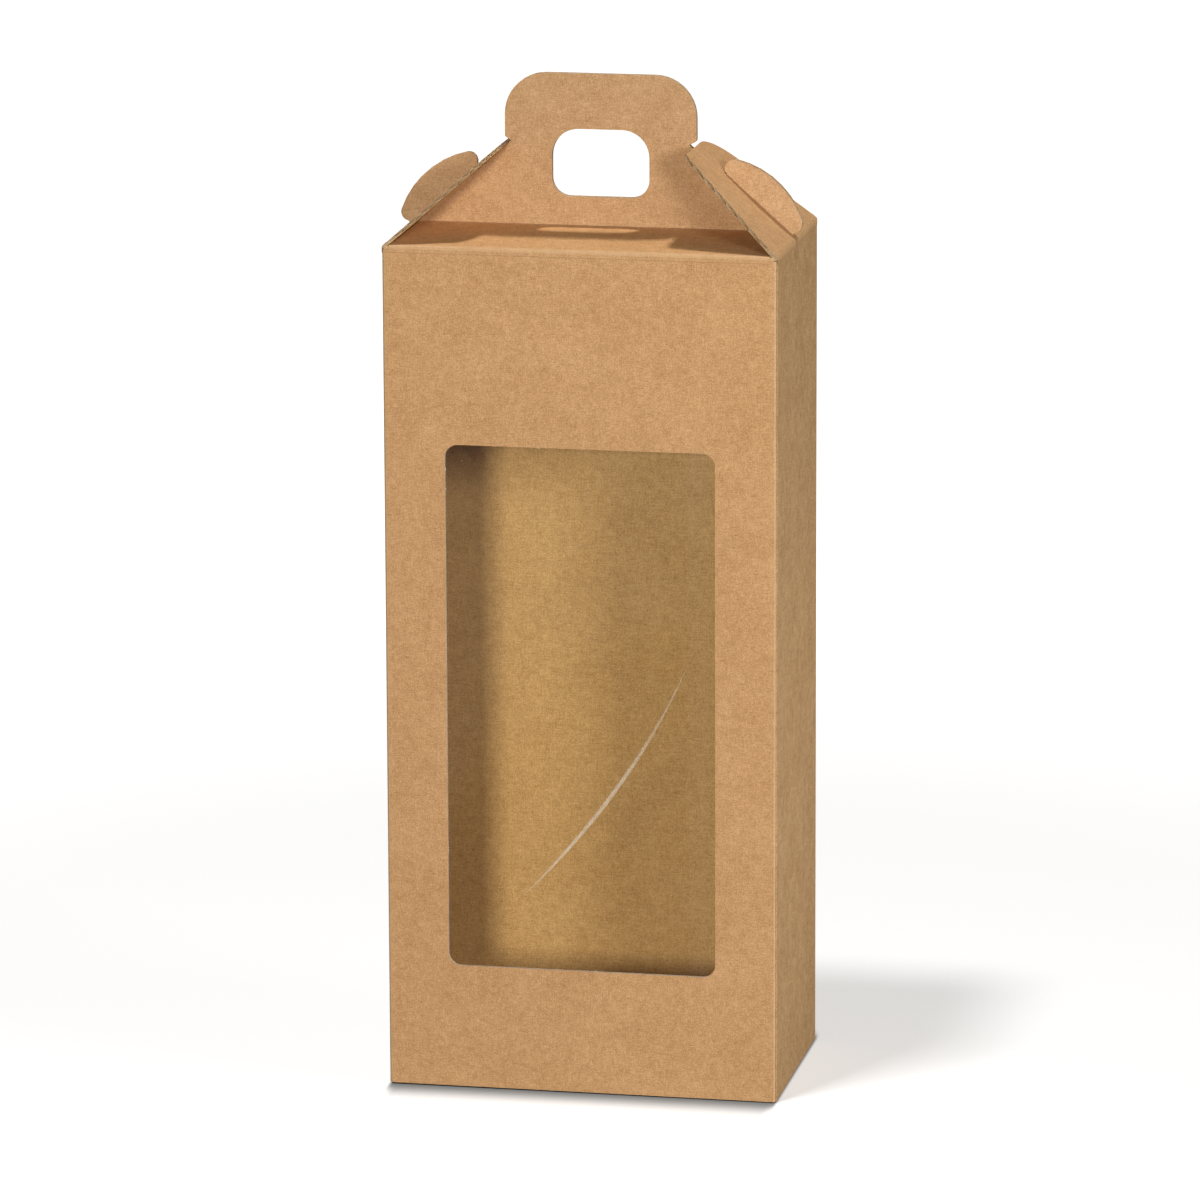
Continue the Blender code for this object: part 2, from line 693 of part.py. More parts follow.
def narrow_flap_outlines():
    """A narrow bottom flap and its corner tab, either side of the diagonal crease.

    X runs inward from the fold at the side panel's outer face, and Y along it.
    """
    side = HALF_DEPTH - NARROW_FLAP_RELIEF
    crease_gap = FOLD_GAP * math.sqrt(2)
    reach = NARROW_FLAP_REACH
    on_crease = reach - HALF_DEPTH
    flap = [
        (0, -side),
        (HALF_DEPTH - side - crease_gap, -side),
        (reach, on_crease + crease_gap),
        (reach, on_crease + NARROW_FLAP_NOSE),
        (reach - (side - on_crease - NARROW_FLAP_NOSE), side),
        (0, side),
    ]
    along = CORNER_TAB_WIDTH * math.sqrt(2)
    tab = [
        (HALF_DEPTH - side, -side),
        (HALF_DEPTH - side + along, -side),
        (reach, on_crease - CORNER_TAB_WIDTH),
        (reach, on_crease),
    ]
    return flap, tab


def build_bottom(group, kraft):
    """The crash-lock bottom: wide flaps that hook together, over narrow flaps glued to them."""
    for turns, name in ((0, "front_bottom_flap"), (2, "back_bottom_flap")):
        mesh = flat_sheet(name, [wide_flap_outline()])
        mitre_fold_edge(mesh, 1, -HALF_DEPTH, -HALF_BOARD)
        bend_over_narrow_flaps(mesh, -HALF_DEPTH)
        place = quarter_turns(turns) @ Matrix.Translation((0, 0, HALF_BOARD))
        add_part(group, name, mesh, place, kraft)
    flap_outline, tab_outline = narrow_flap_outlines()
    to_side = Matrix.Translation((-HALF_WIDTH, 0, HALF_BOARD))
    for turns, side in ((0, "left"), (2, "right")):
        place = quarter_turns(turns) @ to_side
        name = side + "_bottom_flap"
        mesh = flat_sheet(name, [flap_outline])
        fold_in_place(mesh)
        add_part(group, name, mesh, place, kraft)
        name = side + "_corner_tab"
        add_part(group, name, flat_sheet(name, [tab_outline]), place, kraft)


def fold_in_place(mesh):
    """Shift a narrow flap so that the fold at its zero edge can be rounded and mitred."""
    aside = Matrix.Translation((-HALF_WIDTH, 0, 0))
    mesh.transform(aside)
    mitre_fold_edge(mesh, 0, -HALF_WIDTH, -HALF_BOARD)
    mesh.transform(aside.inverted())


def main():
    """Build the whole box."""
    clear_scene()
    box = new_collection("carry_box")
    cutters = new_collection("cutters")
    kraft = new_material("kraft_outside", KRAFT_OUTSIDE, KRAFT_ROUGHNESS)
    shaded = new_material("kraft_side", KRAFT_SHADED, KRAFT_ROUGHNESS)
    inside = new_material("kraft_inside", KRAFT_INSIDE, KRAFT_ROUGHNESS)
    film = new_material("window_film", FILM_CLEAR, FILM_ROUGHNESS, FILM_ALPHA)
    build_walls(box, kraft, shaded)
    build_seam_flap(box, inside)
    build_window_film(box, film)
    build_bottom(box, inside)
    build_top_panels(box, kraft)
    build_handles(box, cutters, kraft)
    build_lock_flaps(box, cutters, kraft)


main()
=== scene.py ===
# %% [markdown]
# # A carry box of thin corrugated board
#
# The real box is one die-cut sheet of brown board, folded into a tall sleeve with a film window.
# Two half-depth panels close its top, and each carries half of a double handle. Sloping flaps hook
# over half-moon ears and lock the top shut.
#
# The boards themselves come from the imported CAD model, which this script loads as a fixed frame.
# What is left to do here is what makes it look like board: the paper, the flutes in the cut edges,
# the pressed creases, the paper that carries on round every fold, and the film.
#
# Lengths are in metres. The front faces -Y and the box stands on z = 0.

# %% Load the frame
import json
import math
import random

import bmesh
import bpy
from mathutils import Matrix, Vector

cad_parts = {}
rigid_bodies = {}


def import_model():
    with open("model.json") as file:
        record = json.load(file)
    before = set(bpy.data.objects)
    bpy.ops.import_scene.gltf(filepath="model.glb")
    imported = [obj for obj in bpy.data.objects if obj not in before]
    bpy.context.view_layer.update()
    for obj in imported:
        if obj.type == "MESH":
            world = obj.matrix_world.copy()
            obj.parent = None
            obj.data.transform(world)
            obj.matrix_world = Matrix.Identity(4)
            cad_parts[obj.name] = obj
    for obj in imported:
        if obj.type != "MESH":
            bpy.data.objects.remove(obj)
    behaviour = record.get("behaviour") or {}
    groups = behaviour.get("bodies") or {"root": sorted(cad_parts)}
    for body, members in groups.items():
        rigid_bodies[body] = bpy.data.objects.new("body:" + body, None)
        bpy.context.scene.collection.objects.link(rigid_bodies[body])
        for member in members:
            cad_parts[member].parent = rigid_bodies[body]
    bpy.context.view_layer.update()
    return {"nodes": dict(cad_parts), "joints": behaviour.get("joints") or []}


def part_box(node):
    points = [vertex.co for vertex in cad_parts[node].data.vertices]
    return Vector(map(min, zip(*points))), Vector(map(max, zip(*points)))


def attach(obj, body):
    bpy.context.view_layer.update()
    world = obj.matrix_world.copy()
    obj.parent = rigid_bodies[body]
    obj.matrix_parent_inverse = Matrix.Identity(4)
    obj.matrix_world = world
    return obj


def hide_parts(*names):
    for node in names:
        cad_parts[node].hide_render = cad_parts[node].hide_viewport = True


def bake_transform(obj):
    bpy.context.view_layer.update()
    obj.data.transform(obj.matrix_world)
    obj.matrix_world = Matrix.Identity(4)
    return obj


for thing in list(bpy.data.objects):
    bpy.data.objects.remove(thing, do_unlink=True)

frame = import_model()

# %% [markdown]
# ## The sizes that everything else follows
#
# The frame knows where each board and each crease is, so the script measures instead of repeating
# numbers. A joint's place is the middle of the board on its crease.

# %% Measure the box
panel_low, panel_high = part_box("front_panel")
BOARD = panel_high.y - panel_low.y
HALF_BOARD = BOARD / 2
PANEL_HALF = panel_high.x
HALF_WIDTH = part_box("right_side_panel")[1].x
FRONT = panel_low.y
PANEL_TOP = panel_high.z

crease = {joint["name"]: Vector(joint["pos_m"]) for joint in frame["joints"]}
front_crease = crease["front_top_fold"]
grip_crease = crease["front_grip_fold"]
side_crease = crease["right_lock_fold"]
print("board, mm:", round(1000 * BOARD, 2), "panel top, mm:", round(1000 * PANEL_TOP, 1))

# %% [markdown]
# ## Helpers for shader nodes
#
# A procedural finish is a graph of small nodes. Nodes could be placed and wired one line at a
# time, but that takes four lines each. So one helper places any node and wires its inputs, and the
# others use it for sums, for smooth steps, for mixed colours and for noise.

# %% Place and wire nodes
def place(tree, kind, inputs=None, **settings):
    """Add a node, set it up and wire or fill its inputs."""
    node = tree.nodes.new(kind)
    for name, value in settings.items():
        setattr(node, name, value)
    for name, value in (inputs or {}).items():
        if isinstance(value, bpy.types.NodeSocket):
            tree.links.new(value, node.inputs[name])
        else:
            node.inputs[name].default_value = value
    return node


def calc(tree, operation, *values, clamp=False):
    """A Math node's result."""
    node = place(tree, "ShaderNodeMath", dict(enumerate(values)), operation=operation)
    node.use_clamp = clamp
    return node.outputs[0]


def vector_calc(tree, operation, *values):
    """A Vector Math node's result: a number for a length or a dot product, else a vector."""
    node = place(tree, "ShaderNodeVectorMath", dict(enumerate(values)), operation=operation)
    return node.outputs["Value" if operation in ("LENGTH", "DOT_PRODUCT") else "Vector"]


def ramp_between(tree, value, low, high):
    """0 below one value, 1 above the other, and a smooth step from one to the other."""
    inputs = {"Value": value, "From Min": low, "From Max": high}
    node = place(tree, "ShaderNodeMapRange", inputs, interpolation_type="SMOOTHSTEP")
    return node.outputs["Result"]


def fall_between(tree, value, low, high):
    """1 below one value, 0 above the other, and a smooth step from one to the other."""
    return calc(tree, "SUBTRACT", 1.0, ramp_between(tree, value, low, high))


def noise_over(tree, where, scale, detail=2.0, roughness=0.5):
    """A cloudy noise over the surface, from 0 to 1."""
    inputs = {"Vector": where, "Scale": scale, "Detail": detail, "Roughness": roughness}
    return place(tree, "ShaderNodeTexNoise", inputs).outputs["Fac"]


def tint(tree, share, first, second, blend="MIX"):
    """A colour mixed from two others."""
    node = place(tree, "ShaderNodeMix", data_type="RGBA", blend_type=blend)
    for index, value in ((0, share), (6, first), (7, second)):
        if isinstance(value, bpy.types.NodeSocket):
            tree.links.new(value, node.inputs[index])
        else:
            node.inputs[index].default_value = value
    return node.outputs[2]


# %% [markdown]
# A node group is a finish with a name, made once and placed in many materials. Its sockets come
# first. Copying the same nodes into every material would look the same, but a change would then
# have to be made in each of them.

# %% Make and use node groups
def new_group(name, inputs, outputs):
    """A shader node group with its sockets, given as name: (kind, default)."""
    tree = bpy.data.node_groups.new(name, "ShaderNodeTree")
    for label, (kind, default) in inputs.items():
        socket = tree.interface.new_socket(label, in_out="INPUT", socket_type="NodeSocket" + kind)
        if default is not None:
            socket.default_value = default
    for label, kind in outputs.items():
        tree.interface.new_socket(label, in_out="OUTPUT", socket_type="NodeSocket" + kind)
    entry = tree.nodes.new("NodeGroupInput")
    return tree, entry.outputs


def close_group(tree, **results):
    """Wire a group's outputs, named with underscores for spaces."""
    end = tree.nodes.new("NodeGroupOutput")
    for name, socket in results.items():
        tree.links.new(socket, end.inputs[name.replace("_", " ")])
    print("group", tree.name, "has", len(tree.nodes), "nodes")


def use_group(tree, group, inputs):
    """Place a node group in a tree and return its outputs."""
    return place(tree, "ShaderNodeGroup", inputs, node_tree=group).outputs


def new_material(name):
    """A material with its node tree, its shader, and where each point lies."""
    material = bpy.data.materials.new(name)
    material.use_nodes = True
    tree = material.node_tree
    where = place(tree, "ShaderNodeTexCoord").outputs["Object"]
    return material, tree, tree.nodes["Principled BSDF"], where


# %% [markdown]
# ## Paper
#
# Brown kraft liner is pressed from long fibres that mostly lie one way, across the flutes. Faint
# lines of the papermaking wire cross them. Close up the paper also has soft clouds where the pulp
# was thicker, fine specks, and stray flecks of bark. A photographed texture would hold all of that
# at one size only. Here each is a noise at its own scale, so the paper stays sharp up close, and
# the noises of the fibres and the wire are stretched, one each way.

# %% The paper group
paper, given = new_group(
    "paper",
    {
        "Place": ("Vector", (0, 0, 0)),
        "Fibres": ("Vector", (1, 1, 1)),
        "Wire": ("Vector", (1, 1, 1)),
        "Colour": ("Color", (0.5, 0.3, 0.14, 1)),
        "Strength": ("Float", 1.0),
    },
    {"Colour": "Color", "Height": "Float"},
)
FIBRES_PER_METRE = 2300.0
HAIRS_PER_METRE = 1500.0
WIRES_PER_METRE = 2300.0
CLOUDS_PER_METRE = 45.0
PATCHES_PER_METRE = 230.0
SPECKS_PER_METRE = 1900.0
PAPER_ROUGHNESS = 0.55


def paper_noise(stretch, per_metre, detail):
    """A noise over the sheet, stretched or even, about zero."""
    spot = given["Place"]
    if stretch:
        spot = vector_calc(paper, "MULTIPLY", spot, stretch)
    noise = noise_over(paper, spot, per_metre, detail, PAPER_ROUGHNESS)
    return calc(paper, "SUBTRACT", noise, 0.5)


fibres = paper_noise(given["Fibres"], FIBRES_PER_METRE, 3.0)
wires = paper_noise(given["Wire"], WIRES_PER_METRE, 2.0)
hair_ridge = calc(paper, "ABSOLUTE", paper_noise(given["Fibres"], HAIRS_PER_METRE, 1.0))
HAIR_WIDTH = 0.022
hairs = fall_between(paper, hair_ridge, 0.0, HAIR_WIDTH)
clouds = paper_noise(None, CLOUDS_PER_METRE, 3.0)
patches = paper_noise(None, PATCHES_PER_METRE, 3.0)
specks = paper_noise(None, SPECKS_PER_METRE, 3.0)

# %% [markdown]
# The noises add up to one tone, each with its own share. A paler spot of paper is also less brown,
# and a darker one is browner. So the tone moves blue the most and red the least.

# %% Colour from the tone
HAIR_SHARE = 0.075
TONE_SHARES = ((fibres, 0.40), (wires, 0.36), (clouds, 0.22), (patches, 0.32), (specks, 1.05))
RED_GREEN_BLUE_MOVES = (0.80, 1.0, 1.35)
SPECK_RELIEF = 0.8
tone = calc(paper, "MULTIPLY", hairs, HAIR_SHARE)
for noise, share in TONE_SHARES:
    tone = calc(paper, "MULTIPLY_ADD", noise, share, tone)
tone = calc(paper, "MULTIPLY", tone, given["Strength"])
channels = [calc(paper, "MULTIPLY_ADD", tone, move, 1.0) for move in RED_GREEN_BLUE_MOVES]
tones = place(paper, "ShaderNodeCombineColor", dict(enumerate(channels))).outputs[0]
toned = tint(paper, 1.0, given["Colour"], tones, "MULTIPLY")
paper_height = calc(paper, "MULTIPLY_ADD", specks, SPECK_RELIEF, calc(paper, "ADD", fibres, wires))
close_group(paper, Colour=toned, Height=paper_height)

# %% [markdown]
# Stray bits of bark lie in the sheet as short splinters. They could be scattered as tiny meshes,
# but there are thousands. A Voronoi texture gives each small cell one point instead, and a cell
# shows a fleck only where its own random colour is high enough, so few cells have one. Stretching
# the texture turns round dots into short splinters, and three directions keep them from looking
# combed.

# %% The flecks group
flecks, given = new_group(
    "flecks",
    {
        "Place": ("Vector", (0, 0, 0)),
        "Colour": ("Color", (0.5, 0.3, 0.14, 1)),
        "Dark": ("Color", (0.16, 0.08, 0.035, 1)),
        "Pale": ("Color", (0.72, 0.52, 0.33, 1)),
    },
    {"Colour": "Color"},
)

SPLINTER_STRETCH = (0.30, 1.0, 0.8)
DARK_SHARE = 0.42
PALE_SHARE = 0.35


def splinters(turn, cells, rarity, radius):
    """A mask of short splinters that lean one way."""
    inputs = {"Vector": given["Place"], "Rotation": turn, "Scale": SPLINTER_STRETCH}
    leaning = place(flecks, "ShaderNodeMapping", inputs).outputs[0]
    spots = place(flecks, "ShaderNodeTexVoronoi", {"Vector": leaning, "Scale": cells}).outputs
    near = fall_between(flecks, spots["Distance"], 0, radius)
    chance = place(flecks, "ShaderNodeSeparateColor", {"Color": spots["Color"]}).outputs[0]
    return calc(flecks, "MULTIPLY", near, calc(flecks, "GREATER_THAN", chance, rarity))


dark_one_way = splinters((0.5, 0.9, 0.4), 520.0, 0.90, 0.22)
dark_other_way = splinters((-0.7, -0.5, 1.1), 430.0, 0.88, 0.17)
pale_way = splinters((0.2, -1.1, 0.3), 610.0, 0.88, 0.24)
dark_ways = calc(flecks, "MAXIMUM", dark_one_way, dark_other_way)
dark_mask = calc(flecks, "MULTIPLY", dark_ways, DARK_SHARE)
pale_mask = calc(flecks, "MULTIPLY", pale_way, PALE_SHARE)
flecked = tint(flecks, dark_mask, given["Colour"], given["Dark"])
flecked = tint(flecks, pale_mask, flecked, given["Pale"])
close_group(flecks, Colour=flecked)

# %% [markdown]
# ## What is inside the board
#
# Corrugated board is two flat liners with a wavy paper between them. A shader can draw all three
# if it knows how deep inside the board a point lies. That depth is zero in the middle of the board
# and half its thickness on either face, so both faces and every cut edge get the right paper from
# one number. The wave's own line is a sine along the direction that crosses the flutes. The same
# wave washes faintly over the faces as relief, and less so on the inside.

# %% The board group
FLUTE_PITCH = 0.0033
LINER = 0.0002
section, given = new_group(
    "board_section",
    {
        "Depth": ("Float", 0.0),
        "Across": ("Float", 0.0),
        "Outside": ("Color", (0.5, 0.3, 0.14, 1)),
        "Inside": ("Color", (0.5, 0.3, 0.14, 1)),
        "Drawn Cells": ("Float", 1.0),
        "Core Paper": ("Color", (0.43, 0.30, 0.175, 1)),
    },
    {"Colour": "Color", "Wave": "Float"},
)
CELL_SHADE = (0.13, 0.078, 0.042, 1)
INNER_WASH = 0.3
WAVE_RELIEF = 0.5
WAVE_THIN, WAVE_THICK, LINER_EDGE = 0.7 * LINER, 1.6 * LINER, 0.5 * LINER
phase = calc(section, "MULTIPLY", given["Across"], 2 * math.pi / FLUTE_PITCH)
wave = calc(section, "SINE", phase)
wave_reach = HALF_BOARD - WAVE_THICK
wave_line = calc(section, "MULTIPLY", wave, wave_reach)
from_wave = calc(section, "ABSOLUTE", calc(section, "SUBTRACT", given["Depth"], wave_line))
in_cell = ramp_between(section, from_wave, WAVE_THIN, WAVE_THICK)
in_cell = calc(section, "MULTIPLY", in_cell, given["Drawn Cells"])
deep = calc(section, "ABSOLUTE", given["Depth"])
core = fall_between(section, deep, wave_reach, HALF_BOARD - LINER_EDGE)
core_colour = tint(section, in_cell, given["Core Paper"], CELL_SHADE)
outer_side = calc(section, "GREATER_THAN", given["Depth"], 0.0)
face_colour = tint(section, outer_side, given["Inside"], given["Outside"])
wash_side = calc(section, "MULTIPLY_ADD", outer_side, 1 - INNER_WASH, INNER_WASH)
low_wave = calc(section, "MULTIPLY", wave, WAVE_RELIEF)
close_group(
    section,
    Colour=tint(section, core, face_colour, core_colour),
    Wave=calc(section, "MULTIPLY", low_wave, wash_side),
)

# %% [markdown]
# ## How deep a point lies
#
# Depth could be painted on each mesh, but the place of a point already tells it.
#
# For a flat board, depth is the distance from its middle plane. The four walls share one formula
# that also turns the corners: the distance from a box that is smaller by the corners' radius. Both
# take the size of each coordinate without its sign, so one material serves mirrored twins. The top
# edge of a wall is a fold and no cut, so it counts as outer face.

# %% Depth inside the boards
CORNER_RADIUS = BOARD
wall_depth, given = new_group("wall_depth", {"Place": ("Vector", (0, 0, 0))}, {"Depth": "Float"})
size_only = vector_calc(wall_depth, "ABSOLUTE", given["Place"])
x, y, z = place(wall_depth, "ShaderNodeSeparateXYZ", {0: size_only}).outputs
beyond = [
    calc(wall_depth, "MAXIMUM", calc(wall_depth, "SUBTRACT", larger, smaller), 0.0)
    for larger, smaller in (
        (x, HALF_WIDTH - CORNER_RADIUS),
        (y, -FRONT - CORNER_RADIUS),
        (CORNER_RADIUS, z),
    )
]
apart = place(wall_depth, "ShaderNodeCombineXYZ", dict(enumerate(beyond))).outputs[0]
radius = vector_calc(wall_depth, "LENGTH", apart)
depth = calc(wall_depth, "SUBTRACT", radius, CORNER_RADIUS - HALF_BOARD)
under_fold = calc(wall_depth, "GREATER_THAN", z, PANEL_TOP - LINER_EDGE)
depth = calc(wall_depth, "MULTIPLY_ADD", under_fold, BOARD, depth)
close_group(wall_depth, Depth=depth)

flat_depth, given = new_group(
    "flat_depth",
    {
        "Place": ("Vector", (0, 0, 0)),
        "On Plane": ("Vector", (0, 0, 0)),
        "Outward": ("Vector", (0, 0, 1)),
    },
    {"Depth": "Float"},
)
size_only = vector_calc(flat_depth, "ABSOLUTE", given["Place"])
from_plane = vector_calc(flat_depth, "SUBTRACT", size_only, given["On Plane"])
close_group(flat_depth, Depth=vector_calc(flat_depth, "DOT_PRODUCT", from_plane, given["Outward"]))

# %% [markdown]
# ## Wear with a painted highlight, and lines pressed into the board
#
# Handling rubs the brown off the sharpest edges first, and a slightly rounded edge catches the
# light. So the edges are painted paler: partly wear, and partly a painted highlight. The edges
# could be marked by hand, but a Bevel node finds them: it gives the normal that a slightly rounded
# edge would have, and where that differs from the real normal there is an edge. Noise breaks the
# line up, because wear is never even.

# %% The wear and highlight group
wear_and_highlight, given = new_group(
    "rubbed_and_lit_edges",
    {
        "Place": ("Vector", (0, 0, 0)),
        "Colour": ("Color", (0.5, 0.3, 0.14, 1)),
        "Worn And Lit": ("Color", (0.66, 0.45, 0.26, 1)),
        "Amount": ("Float", 0.5),
        "Reach": ("Float", 0.0005),
    },
    {"Colour": "Color"},
)
SHARP_EDGE, NO_EDGE = 0.72, 0.995
UNRUBBED_PATCH, RUBBED_PATCH = 0.34, 0.62
WEAR_PER_METRE = 260.0
rounded_normal = place(wear_and_highlight, "ShaderNodeBevel", {"Radius": given["Reach"]}, samples=6).outputs[0]
true_normal = place(wear_and_highlight, "ShaderNodeNewGeometry").outputs["Normal"]
likeness = vector_calc(wear_and_highlight, "DOT_PRODUCT", rounded_normal, true_normal)
edge = fall_between(wear_and_highlight, likeness, SHARP_EDGE, NO_EDGE)
wear_patches = noise_over(wear_and_highlight, given["Place"], WEAR_PER_METRE, 3.0)
uneven = ramp_between(wear_and_highlight, wear_patches, UNRUBBED_PATCH, RUBBED_PATCH)
# The paler line along the edges is wear and a painted highlight.
rubbed_and_lit = calc(wear_and_highlight, "MULTIPLY", edge, uneven)
rubbed_and_lit = calc(wear_and_highlight, "MULTIPLY", rubbed_and_lit, given["Amount"], clamp=True)
close_group(wear_and_highlight, Colour=tint(wear_and_highlight, rubbed_and_lit, given["Colour"], given["Worn And Lit"]))

# %% [markdown]
# A creasing rule leaves a groove with a paler, stretched line on each side of it. Cutting the
# groove into every board would cost many faces for half a millimetre. So it is drawn from the
# distance to the crease, as a height for the bump and as a mask for the colour. The same lines
# also carry painted highlights along rounded folds, and painted shade in a groove, in the colours
# that a finish gives them.

# %% The crease group
pressed, given = new_group(
    "pressed_crease",
    {
        "Distance": ("Float", 1.0),
        "Colour": ("Color", (0.5, 0.3, 0.14, 1)),
        "Line": ("Color", (0.72, 0.47, 0.25, 1)),
        "Width": ("Float", 0.0012),
        "Amount": ("Float", 0.5),
    },
    {"Colour": "Color", "Height": "Float"},
)
BAND_FLAT = 0.55
SECOND_LINE_AT, SECOND_LINE_SOFT = 1.75, 0.3
SECOND_LINE_SHARE, SECOND_LINE_RELIEF = 0.45, 0.5
away = calc(pressed, "DIVIDE", calc(pressed, "ABSOLUTE", given["Distance"]), given["Width"])
pale_band = fall_between(pressed, away, BAND_FLAT, 1.0)
off_second = calc(pressed, "ABSOLUTE", calc(pressed, "SUBTRACT", away, SECOND_LINE_AT))
second_line = fall_between(pressed, off_second, 0, SECOND_LINE_SOFT)
second_share = calc(pressed, "MULTIPLY", second_line, SECOND_LINE_SHARE)
band = calc(pressed, "MAXIMUM", pale_band, second_share)
band = calc(pressed, "MULTIPLY", band, given["Amount"])
second_relief = calc(pressed, "MULTIPLY", second_line, SECOND_LINE_RELIEF)
close_group(
    pressed,
    Colour=tint(pressed, band, given["Colour"], given["Line"]),
    Height=calc(pressed, "SUBTRACT", pale_band, second_relief),
)

# %% [markdown]
# ## Mixing the finishes
#
# The whole box is one brown paper, but here no two parts of it get quite the same colour: the
# handles and ears are a little greyer, the lock flaps browner, and the inside liner is yellower
# and darkest on the side walls. These are lit and shaded copies of the one paper, with the light
# and shade that falls on each part painted into its colour. One colour for all of them would look
# flat. So each kind of board has its own, matched to the photograph. The colours are linear, as
# Blender works with them. The cores are the papers that show in the cut edges: crushed shut by the
# cutter, torn at the window, or loose and open.

# %% Colours of the papers
KRAFT = (0.572, 0.319, 0.143, 1)
KRAFT_SIDE = (0.530, 0.314, 0.140, 1)
KRAFT_TOP = (0.595, 0.333, 0.146, 1)
KRAFT_HANDLE = (0.542, 0.314, 0.150, 1)
KRAFT_EAR = (0.572, 0.342, 0.172, 1)
KRAFT_FLAP = (0.490, 0.272, 0.118, 1)
KRAFT_SIDE_FOLD = (0.500, 0.286, 0.126, 1)
KRAFT_INSIDE = (0.572, 0.338, 0.120, 1)
KRAFT_INNER_SIDE = (0.450, 0.262, 0.082, 1)
CRUSHED_CORE = (0.60, 0.46, 0.31, 1)
# The torn core is nearly white: torn paper with a painted highlight on the window's cut edge.
TORN_CORE_WITH_HIGHLIGHT = (0.95, 0.84, 0.68, 1)
LOOSE_CORE = (0.43, 0.30, 0.175, 1)

LENGTHEN = 0.09
FIBRES_ALONG_X = (LENGTHEN, 1.0, 1.0)
FIBRES_ALONG_Y = (1.0, LENGTHEN, 1.0)
FIBRES_ROUND = (LENGTHEN, LENGTHEN, 1.0)
WIRE_UP = (1.0, 1.0, LENGTHEN)
WIRE_ALONG_Y = (1.0, LENGTHEN, 1.0)
WIRE_ALONG_FLAP = (LENGTHEN, 1.0, LENGTHEN)
ACROSS_X = (1.0, 0.0, 0.0)
ACROSS_Y = (0.0, 1.0, 0.0)

# %% [markdown]
# Each kind of board gets one material, all built by one function. It takes the paper colours of
# the two faces, the way the fibres lie, the way that crosses the flutes, and where the board's
# middle plane is. Writing each material out would be clear too, but much longer.

# %% One finish for any board
ROUGH_PAPER = 0.86
ROUGH_RISE, ROUGH_BY_RELIEF = 0.08, -0.06
PAPER_RELIEF = 0.4
CREASE_RELIEF = 0.6
BUMP_STRENGTH = 0.35
BUMP_DISTANCE = 0.00008


def distance_along(tree, where, axis, start):
    """How far one coordinate's size is from a value."""
    size_only = vector_calc(tree, "ABSOLUTE", where)
    coordinate = place(tree, "ShaderNodeSeparateXYZ", {0: size_only}).outputs[axis]
    return calc(tree, "SUBTRACT", coordinate, start)


def board_material(
    name,
    papers,
    fibres,
    wire,
    across,
    plane=None,
    all_liner=False,
    creases=(),
    cells=1.0,
    core=LOOSE_CORE,
    wash=0.25,
    contrast=1.2,
    shine=0.25,
):
    """A finish for boards. papers are its outside and inside colours.

    plane is a point and a direction, or None for the sleeve's walls. all_liner is for strips that
    show no cut edge. Each of the creases is an axis, a place, a width, a strength and a colour.
    cells says how strongly flutes are drawn in the cut edges, and wash how much they show through.
    """
    outside, inside = papers
    material, tree, shader, where = new_material(name)
    if all_liner:
        depth = BOARD
    elif plane is None:
        depth = use_group(tree, wall_depth, {"Place": where})["Depth"]
    else:
        point, outward = plane
        flat = {"Place": where, "On Plane": point, "Outward": outward}
        depth = use_group(tree, flat_depth, flat)["Depth"]
    cut_inputs = {
        "Depth": depth,
        "Across": vector_calc(tree, "DOT_PRODUCT", where, across),
        "Outside": outside,
        "Inside": inside,
        "Drawn Cells": cells,
        "Core Paper": core,
    }
    cut = use_group(tree, section, cut_inputs)
    sheet_inputs = {
        "Place": where,
        "Fibres": fibres,
        "Wire": wire,
        "Colour": cut["Colour"],
        "Strength": contrast,
    }
    sheet = use_group(tree, paper, sheet_inputs)
    colour = use_group(tree, flecks, {"Place": where, "Colour": sheet["Colour"]})["Colour"]
    height = calc(tree, "MULTIPLY", sheet["Height"], PAPER_RELIEF)
    height = calc(tree, "MULTIPLY_ADD", cut["Wave"], wash, height)
    for axis, start, width, amount, line_colour in creases:
        line_inputs = {
            "Distance": distance_along(tree, where, axis, start),
            "Colour": colour,
            "Line": line_colour,
            "Width": width,
            "Amount": amount,
        }
        line = use_group(tree, pressed, line_inputs)
        colour = line["Colour"]
        height = calc(tree, "MULTIPLY_ADD", line["Height"], CREASE_RELIEF, height)
    worn_and_lit = use_group(tree, wear_and_highlight, {"Place": where, "Colour": colour})
    tree.links.new(worn_and_lit["Colour"], shader.inputs["Base Color"])
    rough_start = ROUGH_PAPER + ROUGH_RISE
    rough = calc(tree, "MULTIPLY_ADD", sheet["Height"], ROUGH_BY_RELIEF, rough_start)
    tree.links.new(rough, shader.inputs["Roughness"])
    shader.inputs["Specular IOR Level"].default_value = shine
    relief = {"Height": height, "Strength": BUMP_STRENGTH, "Distance": BUMP_DISTANCE}
    tree.links.new(place(tree, "ShaderNodeBump", relief).outputs[0], shader.inputs["Normal"])
    print("finish", name, "has", len(tree.nodes), "nodes")
    return material


# %% [markdown]
# The four walls are one sheet that turns three corners. A rule has pressed each corner, so a
# paler, stretched line runs down both of its sides, and the same pale line is a painted highlight
# of the rounded corner. The walls at the sides show their flutes more through the liner than the
# wide ones do, so they take more wash and more contrast. The corners could be modelled as bends,
# but they never open, so a line in the finish is enough.

# %% Finishes for the sleeve
FOLD_LINE = 0.0011
# Pale lines along the folds: stretched paper, and a painted highlight of the rounded fold.
STRETCH_AND_HIGHLIGHT = (0.72, 0.47, 0.25, 1)
